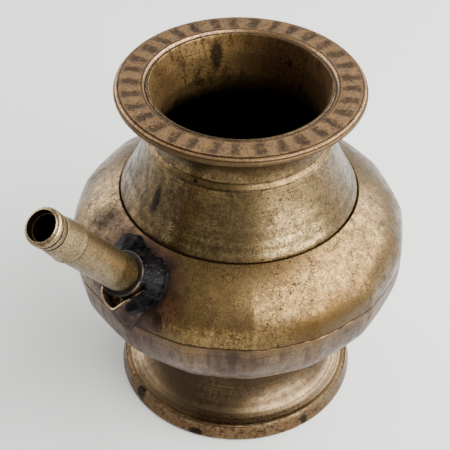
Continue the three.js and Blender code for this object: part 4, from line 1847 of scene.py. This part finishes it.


# Brass polished by hands on the upper bowl: warm and satin, with dark pits and brown patina, a patch of
# painted light on its front and painted shade low on its front right.
UPPER_BRASS = Finish("hand_polished_brass", "77603c", 0.23, (
    clouds(24.0, "624e31", 0.75, 0.06),
    clouds(8.0, "80683e", 0.5, -0.04, level=0.54),
    clouds(11.0, "74502e", 0.35, level=0.55),
    band(9.0, "6d5429", 0.6, -0.05, place=(70.0, 81.0)),
    clouds(4.5, "3a2d1d", 0.6, 0.12, level=0.56),
    clouds(2.8, "9a8150", 0.2, -0.03, level=0.58),
    # Painted light: a paler patch on the belly's front.
    spot(18.0, "92764a", 0.45, place=at(66.0, -146.0, 87.0), reach=20.0),
    clouds(2.2, "3a2d1c", 0.5, 0.06, level=0.56),
    clouds(2.0, "392b20", 0.6, 0.1, level=0.56, stretch=(1.0, 1.0, 0.35)),
    clouds(0.9, "94794a", 0.25, -0.03, level=0.6),
    clouds(0.7, "20180f", 0.6, 0.08, -0.008, level=0.54),
    scratches(4.0, "8c7650", 0.3, -0.05, stretch=(1.0, 0.3, 5.0)),
    pits(0.9, "120d08", 0.9, 0.2, -0.02, level=0.58),
    pits(2.0, "1e170e", 0.8, 0.15, -0.02, level=0.65),
    pits(0.5, "130e08", 0.9, 0.15, -0.015, level=0.55),
    spot(14.0, "4a3820", 0.35, 0.06, place=at(68.0, -166.0, 78.0), reach=18.0),
    # Painted shade: a darker patch low on the belly's front right.
    spot(14.0, "463318", 0.7, 0.05, place=at(69.0, -108.0, 76.0), reach=18.0, stretch=(1.0, 1.0, 1.4)),
    spot(12.0, "3b2820", 0.8, 0.1, place=at(62.0, -179.0, 87.0), reach=20.0),
    spot(8.0, "1c1415", 0.9, 0.05, place=at(62.5, -180.0, 88.0), reach=17.0),
    clouds(5.0, "32251f", 0.8, 0.2, level=0.25,
           within=spot(14.0, place=at(57.0, 160.0, 95.0), reach=15.0)),
    clouds(1.8, "5c402b", 0.8, 0.05, level=0.42, stretch=(1.0, 2.0, 0.25),
           within=spot(4.0, place=at(66.0, -163.0, 85.5), reach=4.0, stretch=(1.0, 1.0, 0.45))),
    spot(1.4, "1f1613", 0.8, 0.1, place=at(69.0, -166.8, 81.2), reach=2.3, stretch=(1.0, 1.0, 0.45)),
    clouds(1.4, "17100c", 0.8, 0.1, level=0.55, stretch=(1.0, 2.0, 0.22),
           within=spot(5.0, place=at(66.0, -164.0, 86.0), reach=5.5, stretch=(1.0, 1.0, 0.5))),
    spot(2.2, "26211a", 0.75, 0.1, -0.05, place=at(60.2, -65.3, 93.4), reach=2.2,
         stretch=(1.0, 1.6, 0.8)),
    spot(5.0, "2e2619", 0.65, 0.1, place=at(56.7, 146.2, 95.9), reach=6.0),
    spot(5.0, "2e2619", 0.65, 0.1, place=at(61.1, 116.9, 92.8), reach=4.5),
    spot(2.0, "2a2119", 0.7, 0.1, place=at(59.8, -159.0, 93.7), reach=1.4),
    spot(2.0, "2a2119", 0.7, 0.1, place=at(69.3, -151.0, 80.2), reach=1.3),
    ring(0.5, "1c150d", 0.8, 0.2, place=(47.6, 99.9)),
))

# The lower bowl is held less: duller, pinkish grey-brown.
LOWER_BRASS = Finish("patinated_brass", "6e5a44", 0.34, (
    turning(1.4, "3d3024", 0.5, 0.05, level=0.52, reach=0.5),
    clouds(18.0, "42352a", 0.75, 0.08),
    clouds(9.0, "80583a", 0.45, level=0.53),
    clouds(7.0, "75604d", 0.6, -0.04, level=0.53, stretch=(1.0, 1.0, 0.5)),
    clouds(3.2, "33281e", 0.6, 0.08, level=0.52, stretch=(1.0, 1.0, 0.2)),
    clouds(0.9, "867058", 0.25, -0.04, level=0.6),
    clouds(0.7, "20180f", 0.5, 0.05, -0.006, level=0.55),
    band(3.0, "5f4a2c", 0.75, -0.04, place=(71.6, 80.0)),
    pits(0.9, "19130d", 0.8, 0.2, -0.015, level=0.6),
    spot(3.0, "1f1b16", 0.75, 0.1, place=at(69.2, -141.8, 69.0), reach=3.0, stretch=(1.0, 1.0, 0.7)),
    spot(8.0, "382d26", 0.5, 0.1, place=at(68.5, -141.0, 66.0), reach=11.0),
    spot(18.0, "3a2c2c", 0.5, 0.08, place=at(68.0, -178.0, 69.0), reach=18.0),
))

# The neck keeps its fine turning lines under uneven brown patina, with painted shade on the throat under the
# rim and on the cone's left side.
NECK_BRASS = Finish("turned_brass", "826c47", 0.21, (
    turning(0.5, "4b3c29", 0.5, 0.03, 0.01, level=0.52),
    clouds(16.0, "665338", 0.75, 0.05),
    turning(1.2, "2f2519", 0.6, 0.05, -0.01, level=0.56, reach=0.25,
            within=band(8.0, place=(90.0, 111.0))),
    turning(0.9, "a08a62", 0.4, -0.03, level=0.6, reach=0.2, within=band(8.0, place=(90.0, 112.0))),
    clouds(6.0, "80694a", 0.5, -0.04, level=0.58, stretch=(1.0, 1.0, 2.0)),
    clouds(4.0, "33281b", 0.6, 0.1, level=0.55, stretch=(1.0, 1.0, 0.6)),
    clouds(2.6, "9c855c", 0.25, -0.03, level=0.57, stretch=(1.0, 1.0, 0.7)),
    clouds(0.9, "967d52", 0.3, -0.03, level=0.6, stretch=(1.0, 1.0, 1.6)),
    clouds(0.7, "20180f", 0.6, 0.05, -0.008, level=0.54, stretch=(1.0, 1.0, 1.4)),
    clouds(1.5, "261d13", 0.55, 0.08, -0.01, level=0.55, stretch=(1.0, 1.0, 0.8)),
    pits(0.5, "130e08", 0.85, 0.1, -0.012, level=0.57),
    band(0.5, "4a3a24", 0.5, 0.06, place=(126.3, 128.3)),
    # Painted shade: darker on the throat under the rim.
    band(4.0, "362a1b", 0.5, 0.05, place=(129.5, 160.0)),
    pits(0.9, "120d08", 0.9, 0.2, -0.02, level=0.58),
    # Painted shade: darker, duller patches on the cone's left side.
    clouds(4.0, "2a2018", 0.7, 0.14, stretch=(1.0, 1.0, 0.5),
           within=spot(14.0, place=at(43.0, 150.0, 110.0), reach=22.0)),
    clouds(1.8, "3a2a24", 0.6, 0.1, within=spot(7.0, place=at(40.0, -172.0, 117.5), reach=8.0)),
    clouds(1.2, "14130f", 0.95, 0.1, level=0.42, stretch=(1.0, 1.0, 0.6),
           within=spot(1.2, place=at(41.8, 169.8, 113.5), reach=1.8, stretch=(0.6, 1.0, 0.18))),
    spot(3.0, "2a2622", 0.6, 0.1, place=at(44.1, 130.3, 108.4), reach=1.6),
    spot(0.7, "15100c", 0.9, 0.1, -0.05, place=at(36.5, -167.2, 127.3), reach=0.9),
    scratches(1.6, "1f170f", 0.9, 0.1, -0.02, stretch=(0.6, 3.0, 0.6),
              within=spot(5.0, place=at(45.0, 179.5, 106.5), reach=7.0)),
    scratches(1.4, "ab9770", 0.8, -0.05, level=0.52, stretch=(3.0, 0.8, 3.0),
              within=spot(5.0, place=at(45.0, 179.5, 106.0), reach=7.0)),
    ring(0.5, "1c150d", 0.7, 0.2, place=(36.7, 126.1)),
    ring(0.5, "1c150d", 0.7, 0.2, place=(35.5, 128.5)),
    ring(0.4, "1c150d", 0.8, 0.2, place=(48.1, 100.4)),
))

# Inside the throat: olive where water has stained it, with painted shade that turns it black further down.
THROAT_LINING = Finish("olive_stain_and_painted_shade", "8e7045", 0.4, (
    clouds(12.0, "4b371d", 0.7, 0.1),
    spot(16.0, "4a2f1c", 0.7, 0.05, place=at(34.0, -8.0, 138.0), reach=24.0),
    clouds(6.0, "2c2213", 0.5, 0.1, level=0.56, stretch=(1.0, 1.0, 0.6)),
    clouds(3.0, "1b150b", 0.75, 0.2, level=0.57, stretch=(1.0, 1.0, 0.4)),
    pits(1.2, "0f0c07", 0.9, 0.2, -0.05, level=0.56),
    spot(2.4, "14110d", 0.9, 0.2, place=at(34.3, 56.3, 141.0), reach=2.6, stretch=(1.0, 1.0, 0.35)),
    spot(1.5, "100d09", 0.85, 0.2, place=at(34.0, 3.9, 140.7), reach=1.2, stretch=(1.0, 1.0, 0.6)),
    clouds(0.8, "201910", 0.6, 0.1, -0.006, level=0.52),
    # Painted shade: black deeper in the throat.
    band(20.0, "050403", 1.0, 0.3, place=(-40.0, 128.0)),
))

# Painted shade: the insides of the bowls, the joints and the spout are coloured nearly black and dull.
LINING = Finish("painted_shade_black", "070503", 0.8, (
    clouds(14.0, "0e0a06", 0.6, 0.1, level=0.55),
    pits(1.6, "050403", 0.8, 0.1, -0.05, level=0.58),
), metallic=0.0, shine=0.0)

# The rim is a little more coppery, with soft dark strokes between paler ones, and painted shade as dark lines
# at the step round its face and along its bead.
RIM_BRASS = Finish("coppery_brass", "8b6f4b", 0.4, (
    clouds(10.0, "674c33", 0.6, 0.06),
    clouds(3.0, "99724a", 0.55, level=0.56),
    clouds(5.0, "5e4c47", 0.4, level=0.52),
    strokes(2.6, "2a241e", 0.86, 0.08, level=-0.05, place=(37.4, 47.6), reach=33.0),
    clouds(2.2, "a5794c", 0.4, -0.03, level=0.6),
    clouds(0.7, "221a12", 0.5, 0.08, -0.008, level=0.54),
    pits(0.8, "1c150f", 0.85, 0.2, -0.015, level=0.57),
    # Painted shade: dark lines at the step round the face and along the bead.
    ring(0.7, "1a140e", 0.85, 0.2, place=(47.0, 149.6)),
    ring(0.6, "1a140e", 0.8, 0.2, place=(48.3, 148.65)),
    clouds(3.0, "33281c", 0.7, 0.1, within=band(0.8, place=(0.0, 149.2))),
    ring(0.5, "1c150f", 0.8, 0.1, place=(38.1, 150.0)),
    band(0.8, "4a3b28", 0.8, place=(0.0, 149.1)),
))

# The foot shows its lathe lines and is darker near its waist; painted shade darkens and dulls its left side.
FOOT_BRASS = Finish("lathe_turned_brass", "5f4e38", 0.25, (
    turning(0.6, "35291a", 0.6, 0.05, 0.02, level=0.52),
    clouds(14.0, "41352a", 0.75, 0.08),
    clouds(2.4, "2c2218", 0.6, 0.08, level=0.53, stretch=(1.0, 1.0, 0.3)),
    band(9.0, "2f2417", 0.6, 0.05, place=(15.0, 60.0)),
    clouds(0.9, "8d7656", 0.25, -0.03, level=0.6),
    clouds(0.7, "1f170f", 0.5, 0.05, -0.006, level=0.55),
    pits(0.9, "18120b", 0.8, 0.2, -0.015, level=0.59),
    ring(1.1, "0e0a06", 1.0, 0.2, place=(49.3, 7.3)),
    ring(0.5, "1a130c", 0.8, 0.2, place=(47.0, 7.9)),
    ring(1.6, "8a7450", 0.6, -0.04, place=(51.4, 1.2)),
    turning(0.7, "9a8562", 0.35, -0.03, 0.02, level=0.53, within=band(3.0, place=(5.0, 12.0))),
    # Painted shade: a darker, duller patch on the foot's left side.
    spot(10.0, "3b3022", 0.75, 0.1, place=at(43.0, 172.0, 14.0), reach=17.0),
    band(0.8, "6e5a3e", 0.7, -0.04, place=(-5.0, 6.9)),
    clouds(6.0, "5a3d2c", 0.6, 0.04, within=band(0.6, place=(-5.0, 7.0))),
    clouds(1.6, "1a140e", 0.8, 0.1, level=0.57, within=band(0.6, place=(-5.0, 7.0))),
    spot(1.4, "120e0a", 0.9, 0.1, place=at(50.3, 164.5, 5.2), reach=2.4, stretch=(1.0, 0.8, 0.8)),
    spot(1.4, "120e0a", 0.9, 0.1, place=at(51.2, -159.3, 2.0), reach=2.4, stretch=(0.8, 0.8, 1.0)),
    spot(1.4, "120e0a", 0.9, 0.1, place=at(51.0, -104.6, 3.4), reach=1.9, stretch=(1.0, 1.0, 0.7)),
))

# The spout is rubbed paler by hands, and stained olive near its root; painted shade darkens the tube under
# the ferrule's foot.
SPOUT_BRASS = Finish("worn_brass", "927f5f", 0.32, (
    clouds(8.0, "6a583d", 0.7, 0.06),
    turning(0.5, "6a5a40", 0.4, 0.05, 0.01, level=0.56),
    band(8.0, "5c4c26", 0.65, 0.04, place=(-20.0, 24.0)),
    spot(3.0, "3a2f18", 0.7, 0.08, place=at(7.3, 0.0, 30.0), reach=4.5, stretch=(1.0, 1.0, 0.25)),
    spot(1.0, "2e2508", 0.8, 0.06, place=at(7.3, -75.0, 13.0), reach=8.0),
    # Painted shade under the ferrule's foot.
    band(1.2, "3a2f1c", 0.7, 0.05, place=(48.9, 50.5)),
    clouds(0.9, "a08c6a", 0.4, -0.05, level=0.6),
    clouds(0.7, "2e2416", 0.65, 0.08, -0.008, level=0.53),
    pits(0.8, "1f170e", 0.8, 0.2, -0.015, level=0.6),
    ring(0.7, "0d0905", 1.0, 0.2, place=(6.6, 62.6)),
    ring(0.7, "0d0905", 1.0, 0.2, place=(6.9, 65.8)),
    # Painted shadow: a dark line under the ferrule's foot step.
    ring(0.9, "0d0905", 1.0, 0.2, place=(7.5, 50.3)),
))

# A brass ring dulled by the pitch, with a painted highlight along its edge.
RING_BRASS = Finish("tarnished_brass", "1f1a18", 0.6, (
    clouds(3.0, "15110f", 0.7, 0.1),
    # Painted highlight: a paler line along the ring's edge.
    ring(0.4, "5c503c", 0.5, place=(9.1, 9.7)),
    spot(5.0, "0b090b", 0.9, 0.1, place=at(9.0, 165.0, 9.0), reach=6.0),
), metallic=0.6, shine=0.2)

# The drawn collar's edge, worn bright.
SOCKET_BRASS = Finish("drawn_brass", "a08a64", 0.35, (
    clouds(2.0, "4a3c28", 0.8, 0.1, level=0.55),
))

# The drawn collar's wall under a thin smear of pitch: purple-black and dull.
TARRED_BRASS = Finish("tarred_brass", "2a1f1b", 0.6, (
    clouds(4.0, "43332d", 0.7, 0.1, 0.02, level=0.52),
    clouds(1.8, "120e0d", 0.7, 0.1, 0.02),
), metallic=0.0, shine=0.1)

# Brazing darkened between the pieces that it joins.
BRAZING = Finish("brazing_brass", "33271a", 0.6, (
    clouds(2.5, "2a2116", 0.8, 0.1),
))

# Lead-grey soft solder, dirty brown round the mouth.
SOFT_SOLDER = Finish("soft_solder", "2a241c", 0.55, (
    clouds(2.0, "100d09", 0.8, 0.1),
    clouds(1.4, "574a36", 0.5, -0.1, level=0.66),
), metallic=0.6)

# Old black pitch: nearly black and smooth, with brown dust in its hollows, and painted highlights: faint
# rings round the tube, soft pale streaks and pale glints.
PITCH = Finish("black_pitch", "030303", 0.3, (
    clouds(3.0, "070709", 0.8, 0.15, 0.08),
    clouds(6.0, "16100c", 0.7, 0.2, level=0.6),
    # Painted highlight: faint paler rings round the tube.
    turning(1.1, "0d0d0f", 0.6, -0.1, 0.02, level=0.6, reach=1.6),
    spot(3.0, "33241a", 0.7, 0.2, place=at(10.5, 165.0, -2.0), reach=4.0, stretch=(1.0, 1.0, 0.3)),
    # Painted highlight: soft pale streaks.
    clouds(2.2, "2c2e33", 0.25, -0.05, 0.01, level=0.62, stretch=(1.0, 1.0, 0.4)),
    # Painted highlights: small pale glints.
    pits(0.6, "7a766c", 0.8, -0.1, 0.02, level=0.67),
), metallic=0.0, shine=0.03)

# Crumbs of pitch, earth and verdigris in the pit; their colour is made paler as painted light against the
# pit's shade.
CRUMBS = Finish("crumbs_with_painted_light", "7d5834", 0.8, (
    clouds(1.2, "2a1d12", 0.8, 0.0, 0.05),
    clouds(0.8, "a87c48", 0.8, level=0.58),
), metallic=0.0)

# Plain paper under the pot.
FLOOR = Finish("pale_paper", "b4b4b2", 0.9, metallic=0.0)


def main() -> None:
    """Builds the studio and every sub-assembly in order."""
    logging.basicConfig(level=logging.INFO, format="%(message)s")
    levels = Levels.from_frame()
    lie = Lie((levels.axis_x, 0.0, 0.0))
    studio = Studio(levels)
    studio.camera()
    studio.build()
    body = Body(levels, lie)
    spout = Spout(levels, body)
    Foot(levels, lie).build()
    body.build(spout)
    Neck(levels, lie).build()
    Rim(levels, lie).build()
    spout.build()


if __name__ == "__main__":
    main()
